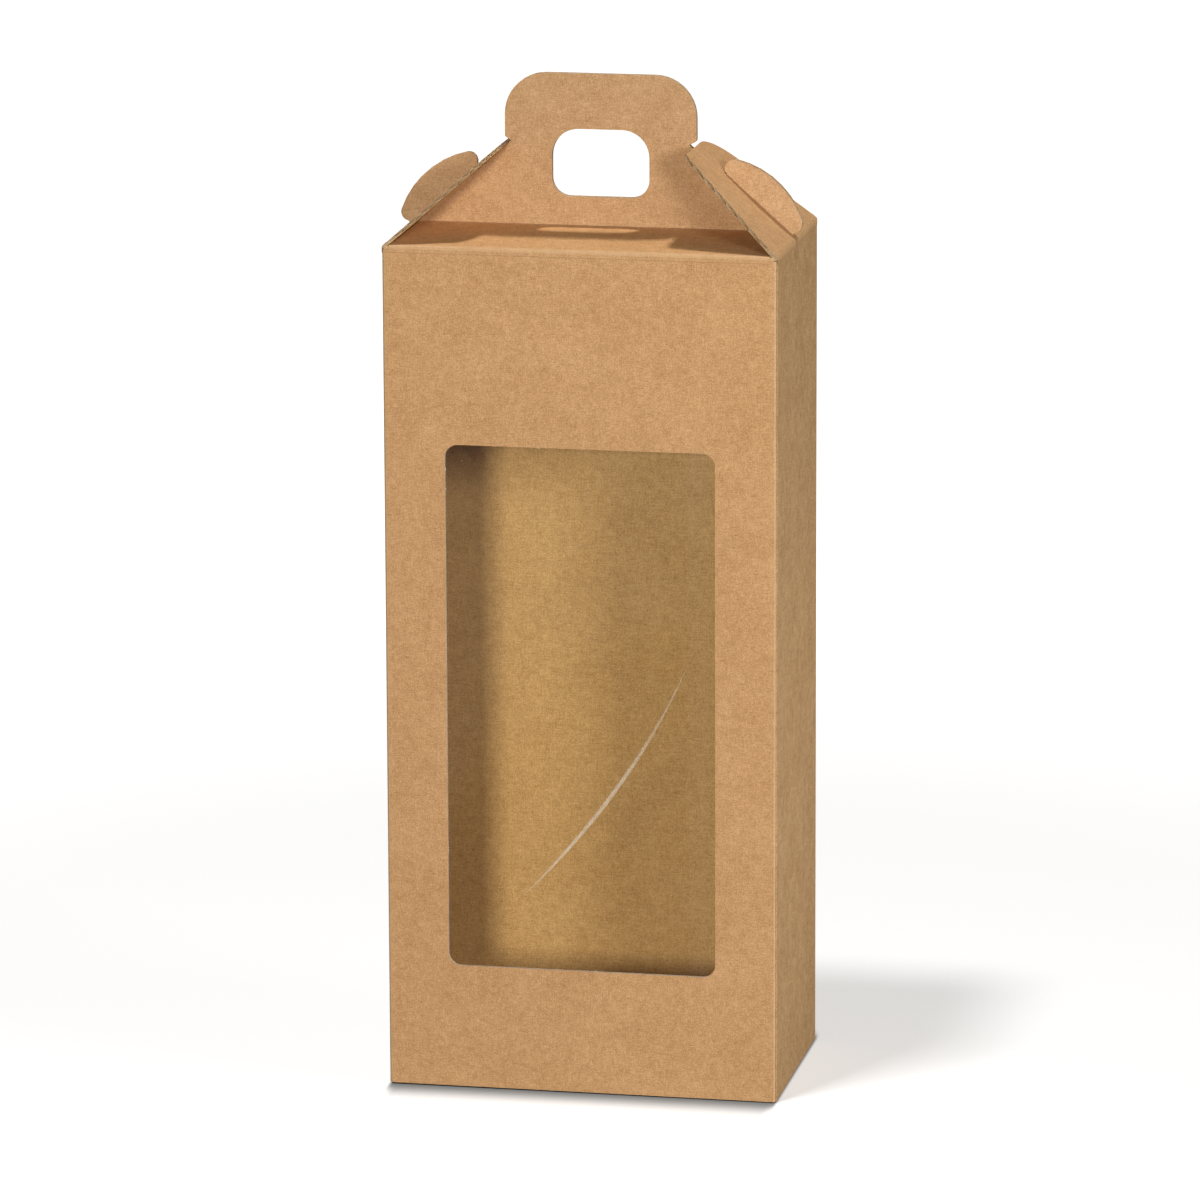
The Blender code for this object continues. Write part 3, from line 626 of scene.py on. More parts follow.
# A dark line along a groove: painted shade in the groove.
GROOVE_SHADE = (0.34, 0.175, 0.068, 1)
OUT_AND_IN = (KRAFT, KRAFT_INSIDE)
front_back = board_material(
    "kraft_front_and_back",
    OUT_AND_IN,
    FIBRES_ROUND,
    WIRE_UP,
    ACROSS_X,
    creases=[(0, PANEL_HALF, FOLD_LINE, 0.40, STRETCH_AND_HIGHLIGHT)],
    cells=0.15,
    core=TORN_CORE_WITH_HIGHLIGHT,
    shine=0.10,
)
side_walls = board_material(
    "kraft_sides",
    (KRAFT_SIDE, KRAFT_INNER_SIDE),
    FIBRES_ROUND,
    WIRE_UP,
    ACROSS_Y,
    creases=[(1, -FRONT, FOLD_LINE, 0.25, STRETCH_AND_HIGHLIGHT)],
    wash=0.9,
    contrast=1.9,
    shine=0.14,
)
bottom_plane = ((0, 0, HALF_BOARD), (0, 0, -1))
bottom_flaps = board_material(
    "kraft_bottom", OUT_AND_IN, FIBRES_ALONG_X, WIRE_ALONG_Y, ACROSS_X, plane=bottom_plane
)

# %% [markdown]
# The boards of the top slope, so their middle planes are measured from the creases and from the
# largest face of a lock flap. The ears and lock flaps have real flutes cut into their edges, so
# nothing is drawn there. The handles' edges have theirs drawn, half crushed by the cutter.

# %% Finishes for the top
top_run = abs(front_crease.y) - abs(grip_crease.y)
top_rise = grip_crease.z - front_crease.z
top_slope = math.atan2(top_rise, top_run)
flap_mesh = frame["nodes"]["right_lock_flap"].data
lock_normal = max(flap_mesh.polygons, key=lambda face: face.area).normal
LOCK_SLOPE = math.atan2(abs(lock_normal.x), abs(lock_normal.z))
print("lock flap slope, degrees:", round(math.degrees(LOCK_SLOPE), 1))

top_plane = (front_crease * Vector((0, -1, 1)), (0, math.sin(top_slope), math.cos(top_slope)))
handle_plane = ((0, abs(grip_crease.y), 0), (0, 1, 0))
lock_plane = (side_crease, (math.sin(LOCK_SLOPE), 0, math.cos(LOCK_SLOPE)))
top_panels = board_material(
    "kraft_top",
    (KRAFT_TOP, KRAFT_INSIDE),
    FIBRES_ALONG_X,
    WIRE_ALONG_Y,
    ACROSS_X,
    plane=top_plane,
    shine=0.08,
)
handles = board_material(
    "kraft_handle",
    (KRAFT_HANDLE, KRAFT_INSIDE),
    FIBRES_ALONG_X,
    WIRE_UP,
    ACROSS_X,
    plane=handle_plane,
    cells=0.6,
    core=CRUSHED_CORE,
)
ears = board_material(
    "kraft_ear",
    (KRAFT_EAR, KRAFT_INSIDE),
    FIBRES_ALONG_X,
    WIRE_UP,
    ACROSS_X,
    plane=handle_plane,
    cells=0.0,
)
lock_flaps = board_material(
    "kraft_lock_flap",
    (KRAFT_FLAP, KRAFT_INSIDE),
    FIBRES_ALONG_Y,
    WIRE_ALONG_FLAP,
    ACROSS_Y,
    plane=lock_plane,
    cells=0.0,
)

# %% [markdown]
# The strips that turn round the creases are plain liner on both sides. Over the wide creases runs
# a pale, stretched edge, which is also a painted highlight of the rounded fold, with a thin dark
# groove under it whose shade is painted in. The fold of a side wall has more of the wall's colour,
# and the foot of a handle more of the handle's, so that no seam shows where the strip begins. One
# paper for all the folds was simpler, but each strip then stood out as a band.

# %% Finishes for the folds
FOLD_EDGE_RISE = 0.25
GROOVE_DROP = 0.0013
GROOVE_LINE = 0.0004
fold_edge = front_crease.z + FOLD_EDGE_RISE * HALF_BOARD
fold_groove = PANEL_TOP - GROOVE_DROP
fold_paper = board_material(
    "kraft_fold",
    OUT_AND_IN,
    FIBRES_ROUND,
    WIRE_UP,
    ACROSS_X,
    all_liner=True,
    creases=[
        (2, fold_edge, FOLD_LINE, 0.42, STRETCH_AND_HIGHLIGHT),
        (2, fold_groove, GROOVE_LINE, 0.34, GROOVE_SHADE),
    ],
    cells=0.0,
)
foot_paper = board_material(
    "kraft_handle_foot",
    (KRAFT_HANDLE, KRAFT_INSIDE),
    FIBRES_ALONG_X,
    WIRE_UP,
    ACROSS_X,
    all_liner=True,
    cells=0.0,
)
side_fold_paper = board_material(
    "kraft_side_fold",
    (KRAFT_SIDE_FOLD, KRAFT_INSIDE),
    FIBRES_ALONG_Y,
    WIRE_UP,
    ACROSS_Y,
    all_liner=True,
    cells=0.0,
)

# %% [markdown]
# Every board of the frame has a name that ends in what it is. So one list of endings hands out the
# finishes, and left and right twins share one. Only the material changes; the meshes stay as they
# are.

# %% Give every board its finish
finish_of = {
    "front_panel": front_back,
    "back_panel": front_back,
    "side_panel": side_walls,
    "seam_flap": side_walls,
    "bottom_flap": bottom_flaps,
    "corner_tab": bottom_flaps,
    "top_panel": top_panels,
    "handle": handles,
    "ear": ears,
    "lock_flap": lock_flaps,
}
for name, board in frame["nodes"].items():
    for ending, material in finish_of.items():
        if name.endswith(ending):
            board.data.materials[0] = material
print("boards with a finish:", len(frame["nodes"]) - 1)

# %% [markdown]
# ## Film
#
# The film is clear, thin and a little hazy. Glass would bend the light through it and keep lamps
# out of the box, so the film is a smooth surface that is mostly see-through instead. Its haze is a
# faint cloud in how see-through it is.

# %% The film's finish
FILM_SHINE = 0.03
CLOUDS_IN_FILM = 24.0
film_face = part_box("window_film")[0].y
film, tree, shader, where = new_material("clear_film")
x, _, z = place(tree, "ShaderNodeSeparateXYZ", {0: where}).outputs
cloud = noise_over(tree, where, CLOUDS_IN_FILM, 3.0)
film_tone = tint(tree, cloud, (0.84, 0.82, 0.76, 1), (0.94, 0.93, 0.90, 1))
tree.links.new(film_tone, shader.inputs["Base Color"])
shader.inputs["Specular IOR Level"].default_value = FILM_SHINE
tree.links.new(calc(tree, "MULTIPLY_ADD", cloud, 0.15, 0.05), shader.inputs["Roughness"])
ripple = {"Height": cloud, "Strength": 0.4, "Distance": 0.002}
tree.links.new(place(tree, "ShaderNodeBump", ripple).outputs[0], shader.inputs["Normal"])
frame["nodes"]["window_film"].data.materials[0] = film
print("film's outer face, mm in front of the middle:", round(-1000 * film_face, 2))

# %% [markdown]
# The upper part of the film is hazier, above a soft slanting line, and so is a narrow upright band
# near its right edge. Dust lies on it as a few small pale specks. Specks of mesh would be another
# way, but a mask in the film needs no more faces.

# %% Haze and dust
HAZE_LINE = 0.205
HAZE_SLANT = 0.9
HAZE_SOFT = 0.030
BAND_AT = 0.054
BAND_HALF = 0.009
CLEAR, CLOUD_HAZE, UPPER_HAZE, BAND_HAZE, DUST_SHOWN = 0.001, 0.004, 0.006, 0.006, 0.35
DUST_PER_METRE, DUST_SIZE, DUST_RARITY = 240.0, 0.055, 0.86
haze_height = calc(tree, "MULTIPLY_ADD", x, -HAZE_SLANT, z)
haze_height = calc(tree, "MULTIPLY_ADD", cloud, 2 * HAZE_SOFT, haze_height)
haze_start = HAZE_LINE + HAZE_SOFT
upper = ramp_between(tree, haze_height, haze_start - HAZE_SOFT, haze_start + HAZE_SOFT)
off_band = calc(tree, "ABSOLUTE", calc(tree, "SUBTRACT", x, BAND_AT))
band = fall_between(tree, off_band, 0.0, BAND_HALF)
spots = {"Vector": where, "Scale": DUST_PER_METRE}
dust_cells = place(tree, "ShaderNodeTexVoronoi", spots).outputs
dust_near = calc(tree, "LESS_THAN", dust_cells["Distance"], DUST_SIZE)
dust_chance = place(tree, "ShaderNodeSeparateColor", {"Color": dust_cells["Color"]}).outputs[0]
dust = calc(tree, "MULTIPLY", dust_near, calc(tree, "GREATER_THAN", dust_chance, DUST_RARITY))
shown = CLEAR
for veil, share in (
    (upper, UPPER_HAZE),
    (band, BAND_HAZE),
    (cloud, CLOUD_HAZE),
    (dust, DUST_SHOWN),
):
    shown = calc(tree, "MULTIPLY_ADD", veil, share, shown)
tree.links.new(shown, shader.inputs["Alpha"])
print("finish", film.name, "has", len(tree.nodes), "nodes")

# %% [markdown]
# ## Paper that carries on round the folds
#
# The frame's boards are separate solids with a sliver of air between them, but the real paper is
# one piece. At each crease that moves, a thin strip of liner follows the surface of one board,
# turns round the crease and follows the other.

# %% Sweep a strip of liner
PROUD = 0.00005
SUNK = -0.00003


def new_piece(name, sheet):
    """Turn a finished bmesh into an object of the scene."""
    mesh = bpy.data.meshes.new(name)
    sheet.to_mesh(mesh)
    sheet.free()
    piece = bpy.data.objects.new(name, mesh)
    bpy.context.scene.collection.objects.link(piece)
    return piece


def swept_strip(name, path, side, start, end):
    """A strip of liner: a path of points, swept along one axis from start to end.

    side is the axis of the sweep. Each point is a pair for the two other axes, in order.
    """
    others = [axis for axis in range(3) if axis != side]
    sheet = bmesh.new()
    rows = []
    for reach in (start, end):
        row = []
        for point in path:
            place_at = [0.0, 0.0, 0.0]
            place_at[side] = reach
            place_at[others[0]], place_at[others[1]] = point
            row.append(sheet.verts.new(place_at))
        rows.append(row)
    for i in range(len(path) - 1):
        sheet.faces.new((rows[0][i], rows[0][i + 1], rows[1][i + 1], rows[1][i]))
    piece = new_piece(name, sheet)
    piece.data.shade_smooth()
    return piece


def round_crease(centre, radius, first, last, steps=8):
    """Points on an arc round a crease, from one angle to another in degrees."""
    turn = (last - first) / steps
    angles = [math.radians(first + turn * i) for i in range(steps + 1)]
    return [
        (centre[0] + radius * math.cos(a), centre[1] + radius * math.sin(a)) for a in angles
    ]


# %% [markdown]
# The wide top creases run between the lock flaps, which lean in over them. So a strip may reach
# only as far as the boards under a lock flap do. Its two ends dip just under the boards' faces,
# because a strip that simply stopped on a face would show its edge.

# %% Strips over the top creases
TAIL = 0.0022
SINK_RUN = 0.0006
LOCK_GAP = 0.0003


def clear_of_lock_flap(height):
    """How far from the middle a board at this height over the crease may reach."""
    room = HALF_BOARD + LOCK_GAP + height * math.cos(LOCK_SLOPE)
    return side_crease.x - room / math.sin(LOCK_SLOPE)


outer_half = clear_of_lock_flap(HALF_BOARD)
inner_half = clear_of_lock_flap(HALF_BOARD + top_rise)
outer_radius = HALF_BOARD + PROUD


def tail_from(point, direction, outward, reverse=False):
    """The flat end of a strip, running out along a board and dipping just under its surface."""
    point, direction, outward = Vector(point), Vector(direction), Vector(outward)
    flat = point + direction * TAIL
    tip = point + direction * (TAIL + SINK_RUN) + outward * (SUNK - PROUD)
    tail = [tuple(tip), tuple(flat)]
    return tail if not reverse else tail[::-1]


top_turn = 90 - math.degrees(top_slope)
crease_y, crease_z = abs(front_crease.y), front_crease.z
for facing, top_body in ((-1, "front_top"), (1, "back_top")):
    bend = round_crease((crease_y, crease_z), outer_radius, 0, top_turn)
    arc = [(facing * y, z) for y, z in bend]
    wall_tail = tail_from(arc[0], (0, -1), (facing, 0))
    inward = (-facing * math.cos(top_slope), math.sin(top_slope))
    upward = (facing * math.sin(top_slope), math.cos(top_slope))
    panel_tail = tail_from(arc[-1], inward, upward, reverse=True)
    strip = swept_strip(
        top_body + "_crease", wall_tail + arc + panel_tail, 0, -outer_half, outer_half
    )
    strip.data.materials.append(fold_paper)
    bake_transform(strip)
print("top crease strips, mm wide:", round(2000 * outer_half, 1))

# %% [markdown]
# A lock flap leans in from its side wall, and the real fold is wide and soft, with no sharp change
# of light across it. A wider radius would lift the strip off the boards. So the strip keeps its
# shape, and only its normals are set, to turn evenly from the wall's to the flap's. The faces have
# to point outward first, or the fold would be lit from inside.

# %% Strips over the lock flaps' creases
STRIP_INSET = 0.0002
lock_turn = 90 - math.degrees(LOCK_SLOPE)
half_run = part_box("right_lock_flap")[1].y - STRIP_INSET


def soften(strip, path, facing, turn):
    """Turn the shading of a strip evenly over its whole width, as on a wide soft fold."""
    steps = [0.0]
    for before, after in zip(path, path[1:]):
        steps.append(steps[-1] + math.dist(before, after))
    if strip.data.polygons[0].normal.x * facing < 0:
        strip.data.flip_normals()
    normals = []
    for step in steps:
        share = step / steps[-1]
        angle = turn * share * share * (3 - 2 * share)
        normals.append((facing * math.cos(angle), 0.0, math.sin(angle)))
    strip.data.normals_split_custom_set_from_vertices(normals + normals)


for facing, side in ((-1, "left"), (1, "right")):
    bend = round_crease((side_crease.x, side_crease.z), outer_radius, 0, lock_turn)
    arc = [(facing * x, z) for x, z in bend]
    wall_tail = tail_from(arc[0], (0, -1), (facing, 0))
    inward = (-facing * math.cos(LOCK_SLOPE), math.sin(LOCK_SLOPE))
    outward = (facing * math.sin(LOCK_SLOPE), math.cos(LOCK_SLOPE))
    flap_tail = tail_from(arc[-1], inward, outward, reverse=True)
    path = wall_tail + arc + flap_tail
    strip = swept_strip(side + "_lock_crease", path, 1, -half_run, half_run)
    soften(strip, path, facing, math.radians(lock_turn))
    strip.data.materials.append(side_fold_paper)
    middle = math.radians(lock_turn / 2)
    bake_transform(strip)
print("lock crease strips, mm long:", round(2000 * half_run, 1))

# %% [markdown]
# Where a top panel meets its handle the fold is hollow instead of rounded, so the paper there runs
# down into the corner and up the handle on a small fillet. Two flat strips that met in the corner
# would leave a black line between them when the handle swings.

# %% Strips at the handles' feet
FILLET = 0.0005
FILLET_STEPS = 5
handle_low, handle_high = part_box("front_handle")
for facing, top_body, grip_body in ((-1, "front_top", "front_grip"), (1, "back_top", "back_grip")):
    face_y = facing * (abs(grip_crease.y) + HALF_BOARD + PROUD)
    inward = Vector((-facing * math.cos(top_slope), math.sin(top_slope)))
    upward = Vector((facing * math.sin(top_slope), math.cos(top_slope)))
    on_crease = Vector((facing * abs(grip_crease.y), grip_crease.z))
    on_top = on_crease + upward * (HALF_BOARD + PROUD)
    to_corner = (abs(face_y) - abs(on_top.x)) / -math.cos(top_slope)
    corner = on_top + inward * to_corner
    fillet_start = corner - inward * FILLET
    fillet_end = corner + Vector((0, FILLET))
    curve = []
    for i in range(FILLET_STEPS + 1):
        share = i / FILLET_STEPS
        low = fillet_start.lerp(corner, share)
        high = corner.lerp(fillet_end, share)
        curve.append(tuple(low.lerp(high, share)))
    panel_tail = tail_from(fillet_start, -inward, upward)
    handle_tail = tail_from(fillet_end, (0, 1), (facing, 0), reverse=True)
    strip = swept_strip(
        grip_body + "_crease",
        panel_tail + curve + handle_tail,
        0,
        handle_low.x + BOARD,
        handle_high.x - BOARD,
    )
    strip.data.materials.append(foot_paper)
    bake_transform(strip)
print("handle foot strips, mm wide:", round(1000 * (handle_high.x - handle_low.x - 2 * BOARD), 1))

# %% [markdown]
# ## Top panels at their full width
#
# In the CAD model the top panels taper, so that stiff boards clear the lock flaps all the way as
# they swing. Real board gives a little there, and its top panels reach the lock flaps at rest. The
# CAD mesh could be stretched, but it is never changed. So each panel is drawn again with that
# outline, at the same place, and replaces it.

# %% Draw the top panels again
def board_piece(name, outline, thickness, matrix, material):
    """A flat board with its middle in the XY plane, moved to its place.

    Its faces are made one by one, because an extrusion gives them in another order on every run.
    """
    sheet = bmesh.new()
    under = [sheet.verts.new((x, y, -thickness / 2)) for x, y in outline]
    over = [sheet.verts.new((x, y, thickness / 2)) for x, y in outline]
    sheet.faces.new(under)
    sheet.faces.new(over)
    for i in range(len(outline)):
        sheet.faces.new((under[i - 1], under[i], over[i], over[i - 1]))
    bmesh.ops.recalc_face_normals(sheet, faces=sheet.faces)
    piece = new_piece(name, sheet)
    piece.data.transform(matrix)
    piece.data.materials.append(material)
    return piece


top_length = math.hypot(top_run, top_rise)
top_end = top_length - HALF_BOARD - LOCK_GAP
top_outline = [
    (-outer_half, 0),
    (outer_half, 0),
    (inner_half, top_end),
    (-inner_half, top_end),
]
on_front = Matrix.Translation(front_crease) @ Matrix.Rotation(top_slope, 4, "X")
for turns, body in ((0, "front_top"), (2, "back_top")):
    turn = Matrix.Rotation(turns * math.pi / 2, 4, "Z")
    panel = board_piece(body + "_board", top_outline, BOARD, turn @ on_front, top_panels)
    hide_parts(body + "_panel")
    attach(panel, body)
top_widths = [round(2000 * half, 1) for half in (outer_half, inner_half)]
print("top boards, mm wide at the crease and at the handle:", top_widths)

# %% [markdown]
# ## Roots of the ears
#
# Each ear is cut from the same sheet as its handle. The CAD model parts them with a sliver of air
# along the handle's shoulder, so a slightly thinner board inside both bridges it. Its outline
# follows the shoulder's own points, read from the handle's mesh, because a straight bridge would
# leave the curve of the shoulder open.

# %% Bridge the ears' roots
BRIDGE_IN = 0.0005
BRIDGE_OUT = 0.0010
BRIDGE_SKIN = 0.00003
EAR_NECK_END = 0.0428
SHOULDER_FROM = 0.04
handle_mesh = frame["nodes"]["front_handle"].data
edge_points = {
    (round(vert.co.x, 5), round(vert.co.z, 5))
    for vert in handle_mesh.vertices
    if abs(vert.co.y - handle_low.y) < LINER / 4 and vert.co.x > SHOULDER_FROM
}
neck_top = side_crease.z + EAR_NECK_END * math.sin(LOCK_SLOPE) - HALF_BOARD
shoulder = sorted((point for point in edge_points if point[1] < neck_top), key=lambda p: p[1])
notch = min((point for point in edge_points if point[1] > neck_top), key=lambda p: p[1])
share = (neck_top - shoulder[-1][1]) / (notch[1] - shoulder[-1][1])
shoulder.append((shoulder[-1][0] + share * (notch[0] - shoulder[-1][0]), neck_top))
root = [(x - BRIDGE_IN, z) for x, z in shoulder]
root += [(x + BRIDGE_OUT, z) for x, z in reversed(shoulder)]
upright = Matrix.Rotation(math.pi / 2, 4, "X")
for facing, body in ((-1, "front_grip"), (1, "back_grip")):
    for hand, name in ((1, "right"), (-1, "left")):
        outline = [(hand * x, z) for x, z in root]
        matrix = Matrix.Translation((0, facing * abs(grip_crease.y), 0)) @ upright
        root_name = body + "_" + name + "_ear_root"
        bridge = board_piece(root_name, outline, BOARD - 2 * BRIDGE_SKIN, matrix, handles)
        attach(bridge, body)
print("ear roots, mm high:", round(1000 * (shoulder[-1][1] - shoulder[0][1]), 1))

# %% [markdown]
# At the four top corners the paper of the wide walls reaches up beside the folds, where the solids
# leave a small hole. A wider strip over the crease would cut into the lock flaps as they swing. So
# a small plate of liner closes each corner, and starts just beside the top board, clear of its
# swing.

# %% Close the top corners
PLATE = 0.0001
PLATE_AIR = 0.0001
PLATE_SHOULDER = 0.6
PLATE_START = outer_half + PLATE_AIR
PLATE_END = PANEL_HALF - 0.5 * BOARD
plate = [(PLATE_START, PANEL_TOP - BOARD / 2), (PLATE_END, PANEL_TOP - BOARD / 2)]
fold_round = round_crease((side_crease.x, side_crease.z), HALF_BOARD, 0, 90)
plate += [(min(x, PLATE_END), z) for x, z in fold_round]
plate.append((PLATE_START, side_crease.z + HALF_BOARD * PLATE_SHOULDER))
for facing, name in ((-1, "front"), (1, "back")):
    for hand, side in ((1, "right"), (-1, "left")):
        outline = [(hand * x, z) for x, z in plate]
        matrix = Matrix.Translation((0, facing * (-FRONT - PLATE / 2), 0)) @ upright
        corner = board_piece(name + "_" + side + "_corner", outline, PLATE, matrix, fold_paper)
        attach(corner, "sleeve")
print("corner plates, mm wide:", round(1000 * (PLATE_END - PLATE_START), 1))

# %% [markdown]
# ## A crease in the film, and torn fibres
#
# Somebody bent the film while the box was packed flat, and it kept a long curved crease that
# catches the light. A bump in the film's finish would not catch light where the film is clear. So
# it is a fine ridge on the film's outer face, widest at its middle, laid along a smooth curve that
# leaves one point, leans to a second and ends at a third.

# %% The film's crease
CREASE_START = Vector((-0.0285, 0.0900))
CREASE_PULL = Vector((0.0226, 0.1420))
CREASE_END = Vector((0.0481, 0.2000))
CREASE_WIDTH = 0.0016
CREASE_TIP = 0.00008
CREASE_RISE = 0.00025
CREASE_STEPS = 48
RIDGE_AT = 0.25
OFF_FILM = 0.00002


def along_curve(share):
    """A point and a direction on the crease's curve."""
    first = CREASE_START.lerp(CREASE_PULL, share)
    second = CREASE_PULL.lerp(CREASE_END, share)
    return first.lerp(second, share), (second - first).normalized()


ridge = bmesh.new()
rows = []
for step in range(CREASE_STEPS + 1):
    share = step / CREASE_STEPS
    middle, direction = along_curve(share)
    aside = Vector((-direction.y, direction.x))
    swell = math.sin(math.pi * share ** 0.85) ** 0.9
    half = CREASE_WIDTH / 2 * swell + CREASE_TIP
    row = []
    for offset, rise in ((-half, 0.0), (-half * RIDGE_AT, CREASE_RISE * swell), (half, 0.0)):
        spot = middle + aside * offset
        row.append(ridge.verts.new((spot.x, film_face - OFF_FILM - rise, spot.y)))
    rows.append(row)
for before, after in zip(rows, rows[1:]):
    for i in range(2):
        ridge.faces.new((before[i], before[i + 1], after[i + 1], after[i]))
film_crease = new_piece("film_crease", ridge)
film_crease.data.shade_smooth()
print("film crease, mm from end to end:", round(1000 * (CREASE_END - CREASE_START).length, 1))

# %% [markdown]
# The crease's pale line is a painted highlight: the ridge is drawn in pale tones that partly show.
# It is strongest in the lower half of the crease and fades at its lower end, in fine streaks. It
# is drawn as how see-through the ridge is, like the haze of the film itself, because a solid white
# line would look like paint.

# %% The crease's painted highlight
STREAKS_PER_METRE = 420.0
SHARP_UP_TO, SOFT_FROM = 0.135, 0.180
CREASE_LEAST, CREASE_SHARP, CREASE_STREAKS = 0.05, 0.16, 0.30
FADE_BELOW, FADE_ABOVE = 0.006, 0.020
crease_highlight, tree, shader, where = new_material("crease_highlight")
streaks = noise_over(tree, where, STREAKS_PER_METRE)
# Pale tones of the crease's painted highlight.
highlight_tone = tint(tree, streaks, (0.80, 0.70, 0.55, 1), (0.90, 0.83, 0.70, 1))
tree.links.new(highlight_tone, shader.inputs["Base Color"])
height = place(tree, "ShaderNodeSeparateXYZ", {0: where}).outputs["Z"]
sharp = fall_between(tree, height, SHARP_UP_TO, SOFT_FROM)
shown = calc(tree, "MULTIPLY_ADD", sharp, CREASE_SHARP, CREASE_LEAST)
shown = calc(tree, "MULTIPLY_ADD", streaks, CREASE_STREAKS, shown)
fade = ramp_between(tree, height, CREASE_START.y - FADE_BELOW, CREASE_START.y + FADE_ABOVE)
shown = calc(tree, "MULTIPLY", shown, fade)
tree.links.new(shown, shader.inputs["Alpha"])
shader.inputs["Roughness"].default_value = 0.3
film_crease.data.materials.append(crease_highlight)
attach(film_crease, "sleeve")

# %% [markdown]
# The cutting die leaves small bridges of board that are torn through when the window's waste is
# pushed out. Each leaves a tuft of pale fibres on the cut edge. Hair curves would do, but a
# handful of small flat blades is lighter and is a plain mesh. The seed keeps every run the same.

# %% Torn fibres on the cut edges
random.seed(7)
FIBRE_LENGTH = 0.0011
FIBRE_WIDTH = 0.00022
STRANDS_PER_METRE = 3000.0
torn, tree, shader, where = new_material("torn_fibres")
strands = noise_over(tree, where, STRANDS_PER_METRE)
torn_tone = tint(tree, strands, (0.70, 0.55, 0.38, 1), (0.93, 0.88, 0.78, 1))
tree.links.new(torn_tone, shader.inputs["Base Color"])
shader.inputs["Roughness"].default_value = 0.9


def torn_tuft(sheet, root_at, outward, sideways, count):
    """A few short flat fibres that stick out from one spot on a cut edge."""
    for _ in range(count):
        along = sideways * random.uniform(-0.0006, 0.0006)
        depth = Vector((0, random.uniform(-0.35, 0.35) * BOARD, 0))
        base = root_at + along + depth
        lean = outward + sideways * random.uniform(-0.9, 0.9)
        lean += Vector((0, random.uniform(-0.4, 0.4), 0))
        length = FIBRE_LENGTH * random.uniform(0.4, 1.0)
        width = sideways * FIBRE_WIDTH * random.uniform(0.5, 1.2)
        bend = base + lean.normalized() * length * 0.6
        tip = bend + (lean.normalized() + Vector((0, -0.5, 0))).normalized() * length * 0.4
        back_off = base - outward * 0.0001
        corners = [back_off - width, back_off + width, bend + width * 0.6, tip, bend - width * 0.6]
        sheet.faces.new([sheet.verts.new(corner) for corner in corners])


# %% [markdown]
# The tufts sit where they show in the photograph. Each place has the edge's way out, the way along
# the edge, and how many fibres stand there.

# %% Place the tufts
WINDOW_HALF = 0.0618
WINDOW_SILL = 0.0575
WINDOW_HEAD = 0.2999
middle_y = FRONT + HALF_BOARD
right_way, up_way = Vector((1, 0, 0)), Vector((0, 0, 1))
nicks = [
    ((-WINDOW_HALF, middle_y, 0.2887), right_way, up_way, 6),
    ((-WINDOW_HALF, middle_y, 0.2790), right_way, up_way, 3),
    ((-WINDOW_HALF, middle_y, 0.1120), right_way, up_way, 3),
    ((0.0062, middle_y, WINDOW_SILL), up_way, right_way, 4),
    ((WINDOW_HALF, middle_y, 0.2310), -right_way, up_way, 3),
    ((-0.0190, middle_y, WINDOW_HEAD), -up_way, right_way, 3),
]
tufts = bmesh.new()
for spot, outward, sideways, count in nicks:
    torn_tuft(tufts, Vector(spot), outward, sideways, count)
window_fibres = new_piece("window_fibres", tufts)
window_fibres.data.materials.append(torn)
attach(window_fibres, "sleeve")
print("torn fibres:", len(window_fibres.data.polygons))

# %% [markdown]
# ## Floor, light and camera
#
# The box stands on a plain white floor with a soft shadow. More light would make the floor white,
# but would bleach the box too. So the floor is lifted to white only for what the camera sees
# directly, more so farther from the box, and is a dull grey for light that bounces. The shadow
# still shows on it, and no extra light reaches the box.

# %% The floor
FLOOR_HALF = 6.0
FLOOR_DROP = 0.0002
NEAR_LIFT, FAR_LIFT = 0.60, 1.0
LIFT_START, LIFT_END = 0.40, 1.20
BOUNCE_GREY = (0.25, 0.25, 0.25, 1)


def seen_directly(tree):
    """1 for what the camera sees, straight or through film or in a shine, else 0."""
    seen = place(tree, "ShaderNodeLightPath").outputs
    direct = calc(tree, "MAXIMUM", seen["Is Camera Ray"], seen["Is Glossy Ray"])
    return calc(tree, "MAXIMUM", direct, seen["Is Transmission Ray"])


sheet = bmesh.new()
ways = ((-1, -1), (1, -1), (1, 1), (-1, 1))
sheet.faces.new([sheet.verts.new((x * FLOOR_HALF, y * FLOOR_HALF, 0)) for x, y in ways])
floor = new_piece("floor", sheet)
floor.location.z = -FLOOR_DROP

floor_look, tree, shader, spot = new_material("pale_floor")
cloth = place(tree, "ShaderNodeTexNoise", {"Scale": 3.0, "Detail": 2.0}).outputs["Fac"]
shader.inputs["Roughness"].default_value = 0.9
shader.inputs["Specular IOR Level"].default_value = 0.1
direct = seen_directly(tree)
far = ramp_between(tree, vector_calc(tree, "LENGTH", spot), LIFT_START, LIFT_END)
lift = calc(tree, "MULTIPLY_ADD", far, FAR_LIFT - NEAR_LIFT, NEAR_LIFT)
pale = tint(tree, cloth, (0.80, 0.80, 0.80, 1), (0.83, 0.83, 0.83, 1))
pale = tint(tree, direct, BOUNCE_GREY, pale)
print("floor, m wide:", 2 * FLOOR_HALF)

# %% [markdown]
# Right beside the box lies a narrow dark band, where little light gets in under the rounded folds.
# The lamps do leave shade there, but the lift to white washes it out. So the floor's finish draws
# the band, from how far a point lies from the box. It is wide along the front and back, narrow at
# the sides, and draws in a little at the corners.

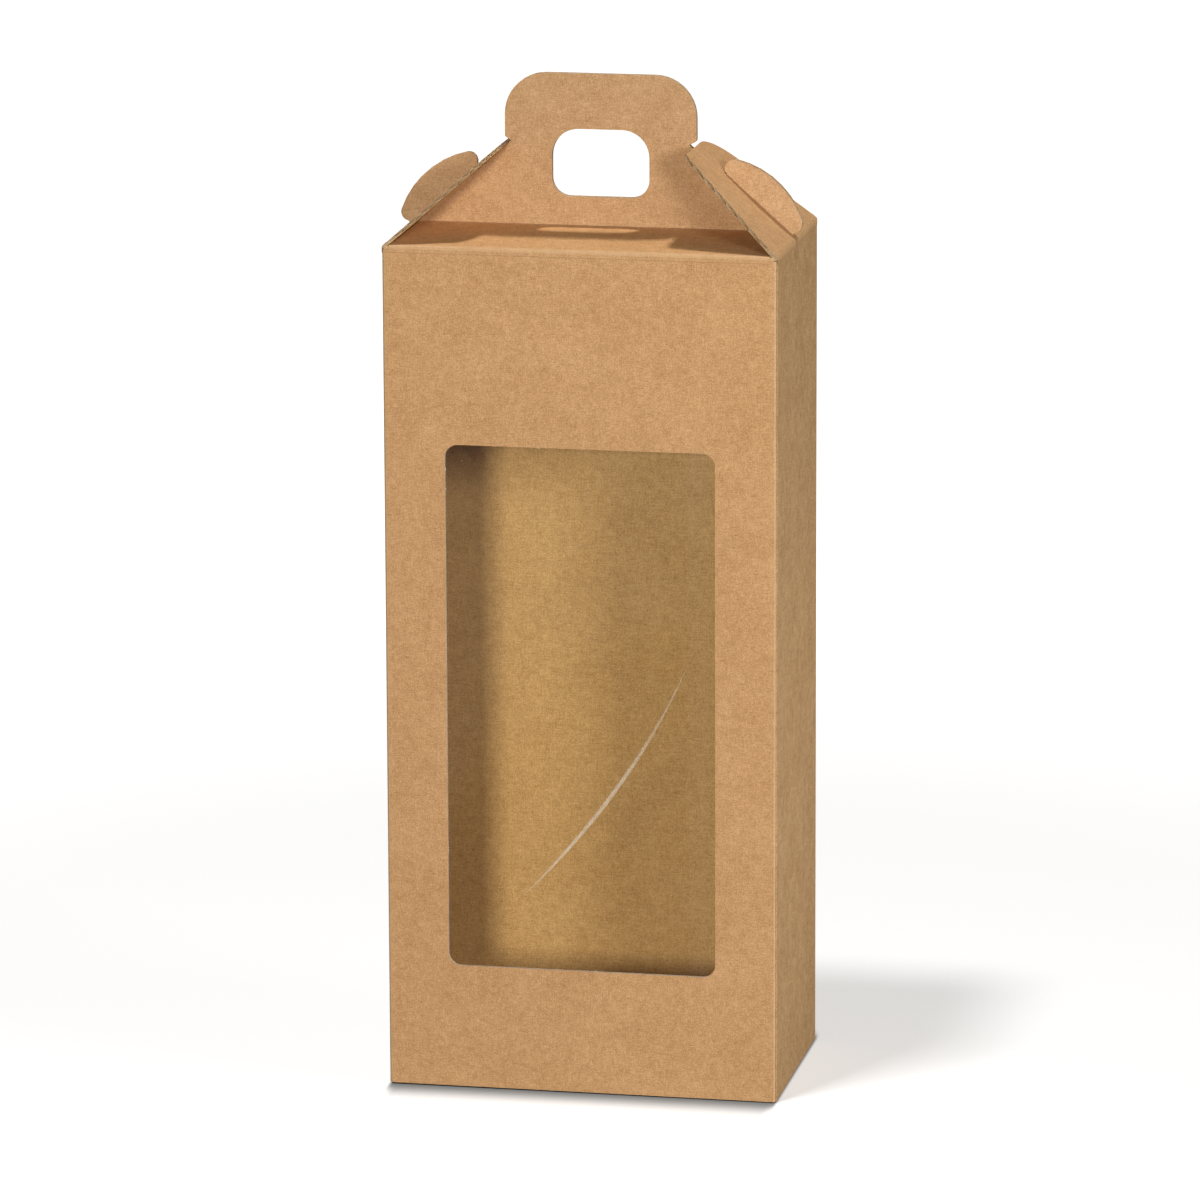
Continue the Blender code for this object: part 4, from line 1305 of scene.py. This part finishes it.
# %% The dark band beside the box
CONTACT = 0.0048
CONTACT_STRETCH, CORNER_STRETCH = 5.4, 3.4
CONTACT_TAPER = 0.004
CONTACT_NARROW = 2.0
CONTACT_GREY = (0.30, 0.34, 0.37, 1)
size_only = vector_calc(tree, "ABSOLUTE", spot)
x, y, _ = place(tree, "ShaderNodeSeparateXYZ", {0: size_only}).outputs
beside = calc(tree, "MAXIMUM", calc(tree, "SUBTRACT", x, PANEL_HALF - HALF_BOARD), 0.0)
before = calc(tree, "MAXIMUM", calc(tree, "SUBTRACT", y, -FRONT - HALF_BOARD), 0.0)
near_end = ramp_between(tree, x, PANEL_HALF - CONTACT_TAPER, PANEL_HALF)
narrowing = CORNER_STRETCH - CONTACT_STRETCH
stretch = calc(tree, "MULTIPLY_ADD", near_end, narrowing, CONTACT_STRETCH)
before = calc(tree, "DIVIDE", before, stretch)
beside = calc(tree, "MULTIPLY", beside, CONTACT_NARROW)
apart = place(tree, "ShaderNodeCombineXYZ", {0: beside, 1: before}).outputs[0]
open_air = ramp_between(tree, vector_calc(tree, "LENGTH", apart), 0.0, CONTACT)
lift = calc(tree, "MULTIPLY", calc(tree, "MULTIPLY", direct, lift), open_air)
tree.links.new(lift, shader.inputs["Emission Strength"])
shader.inputs["Emission Color"].default_value = (1, 1, 1, 1)
tree.links.new(tint(tree, open_air, CONTACT_GREY, pale), shader.inputs["Base Color"])
floor.data.materials.append(floor_look)
bands = (CONTACT * CONTACT_STRETCH, CONTACT / CONTACT_NARROW)
band_widths = [round(1000 * width, 1) for width in bands]
print("dark band, mm wide at the front and at the sides:", band_widths)

# %% [markdown]
# The world is a studio with pale walls. It gives a little warm light, and is white only where it
# is seen directly. A brighter world would fill the shadows that shape the top of the box.

# %% The world
WORLD_LEVEL = 0.05
world = bpy.data.worlds.new("studio")
bpy.context.scene.world = world
world.use_nodes = True
tree = world.node_tree
background = tree.nodes["Background"]
direct = seen_directly(tree)
level = calc(tree, "MULTIPLY_ADD", direct, 1 - WORLD_LEVEL, WORLD_LEVEL)
tree.links.new(level, background.inputs["Strength"])
sky = tint(tree, direct, (1.0, 0.95, 0.84, 1), (1, 1, 1, 1))
tree.links.new(sky, background.inputs["Color"])
print("world level away from the camera:", WORLD_LEVEL)

# %% [markdown]
# The lamps follow the shadows in the photograph: soft ones from in front and from the right, and
# one above and behind, which throws the shadow of the handle over the top. One lamp fills in from
# behind and one low at the right. Each lamp is given the brightness it makes on white board,
# because that is easier to judge than its watts.
#
# The floor and the box need different levels, as in a studio where flags hold light off the floor.
# Light linking does the same: one lamp lights only the floor, and most of the others leave it out.

# %% The lamps
AIM_HEIGHT = 0.2


def soft_lamp(name, azimuth, elevation, distance, size, level, colour=(1, 1, 1)):
    """A square lamp that gives a white surface facing it a brightness of level."""
    turn, lift = math.radians(azimuth), math.radians(elevation)
    outward = Vector(
        (math.sin(turn) * math.cos(lift), -math.cos(turn) * math.cos(lift), math.sin(lift))
    )
    light = bpy.data.lights.new(name, "AREA")
    light.shape = "SQUARE"
    light.size = size
    light.energy = level * (math.pi * distance) ** 2
    light.color = colour
    lamp = bpy.data.objects.new(name, light)
    lamp.location = Vector((0, 0, AIM_HEIGHT)) + outward * distance
    lamp.rotation_euler = outward.to_track_quat("Z", "Y").to_euler()
    bpy.context.scene.collection.objects.link(lamp)
    print("lamp", name, "at", distance, "m gives", round(light.energy, 2), "W")
    return lamp


def link_to_floor(lamp, state):
    """Let a lamp light only the floor (INCLUDE), or everything but the floor (EXCLUDE)."""
    group = bpy.data.collections.new(lamp.name + "_floor")
    group.objects.link(floor)
    group.collection_objects[0].light_linking.link_state = state
    lamp.light_linking.receiver_collection = group


front_lamp = soft_lamp("front_lamp", -1.2, 11, 3.4, 0.42, 0.555, (1.0, 0.995, 0.98))
right_lamp = soft_lamp("right_lamp", 38, 18, 1.4, 0.26, 0.39, (0.96, 0.985, 1.04))
soft_lamp("side_lamp", 75, 35, 2.0, 0.5, 0.08, (1.0, 0.98, 0.90))
low_lamp = soft_lamp("low_side_lamp", 84, -14, 0.42, 0.16, 0.20, (0.96, 0.99, 1.06))
back_lamp = soft_lamp("top_back_lamp", 158, 70, 2.5, 0.20, 0.64)
fill_lamp = soft_lamp("back_fill_lamp", 222, 12, 2.5, 0.8, 0.30, (1.0, 0.98, 0.94))
floor_lamp = soft_lamp("floor_lamp", -27, 73, 2.5, 0.3, 0.49)
link_to_floor(floor_lamp, "INCLUDE")
for lamp in (front_lamp, right_lamp, low_lamp, back_lamp, fill_lamp):
    link_to_floor(lamp, "EXCLUDE")

# %% [markdown]
# The photograph was taken from far off with a long lens, a little from the right and above. The
# camera could be turned by hand until it looked right, but it was fitted to the corners of the box
# instead. Its place and its three axes come from that fit.

# %% The camera
LONG_LENS = 235.7
EYE_PLACE = Vector((0.6812, -3.4349, 1.0084))
EYE_RIGHT = Vector((0.98098, 0.19408, -0.00377))
EYE_UP = Vector((-0.03908, 0.21648, 0.97550))
EYE_BACK = Vector((0.1901, -0.9568, 0.2199))
camera = bpy.data.cameras.new("camera")
camera.lens = LONG_LENS
camera.sensor_width = 36
camera.clip_end = 50
eye = bpy.data.objects.new("camera", camera)
turned = Matrix((EYE_RIGHT, EYE_UP, EYE_BACK)).transposed()
eye.matrix_world = Matrix.Translation(EYE_PLACE) @ turned.to_4x4()
bpy.context.scene.collection.objects.link(eye)
bpy.context.scene.camera = eye
bpy.context.scene.view_settings.view_transform = "Standard"
print("camera, m from the box:", round(EYE_PLACE.length, 2))
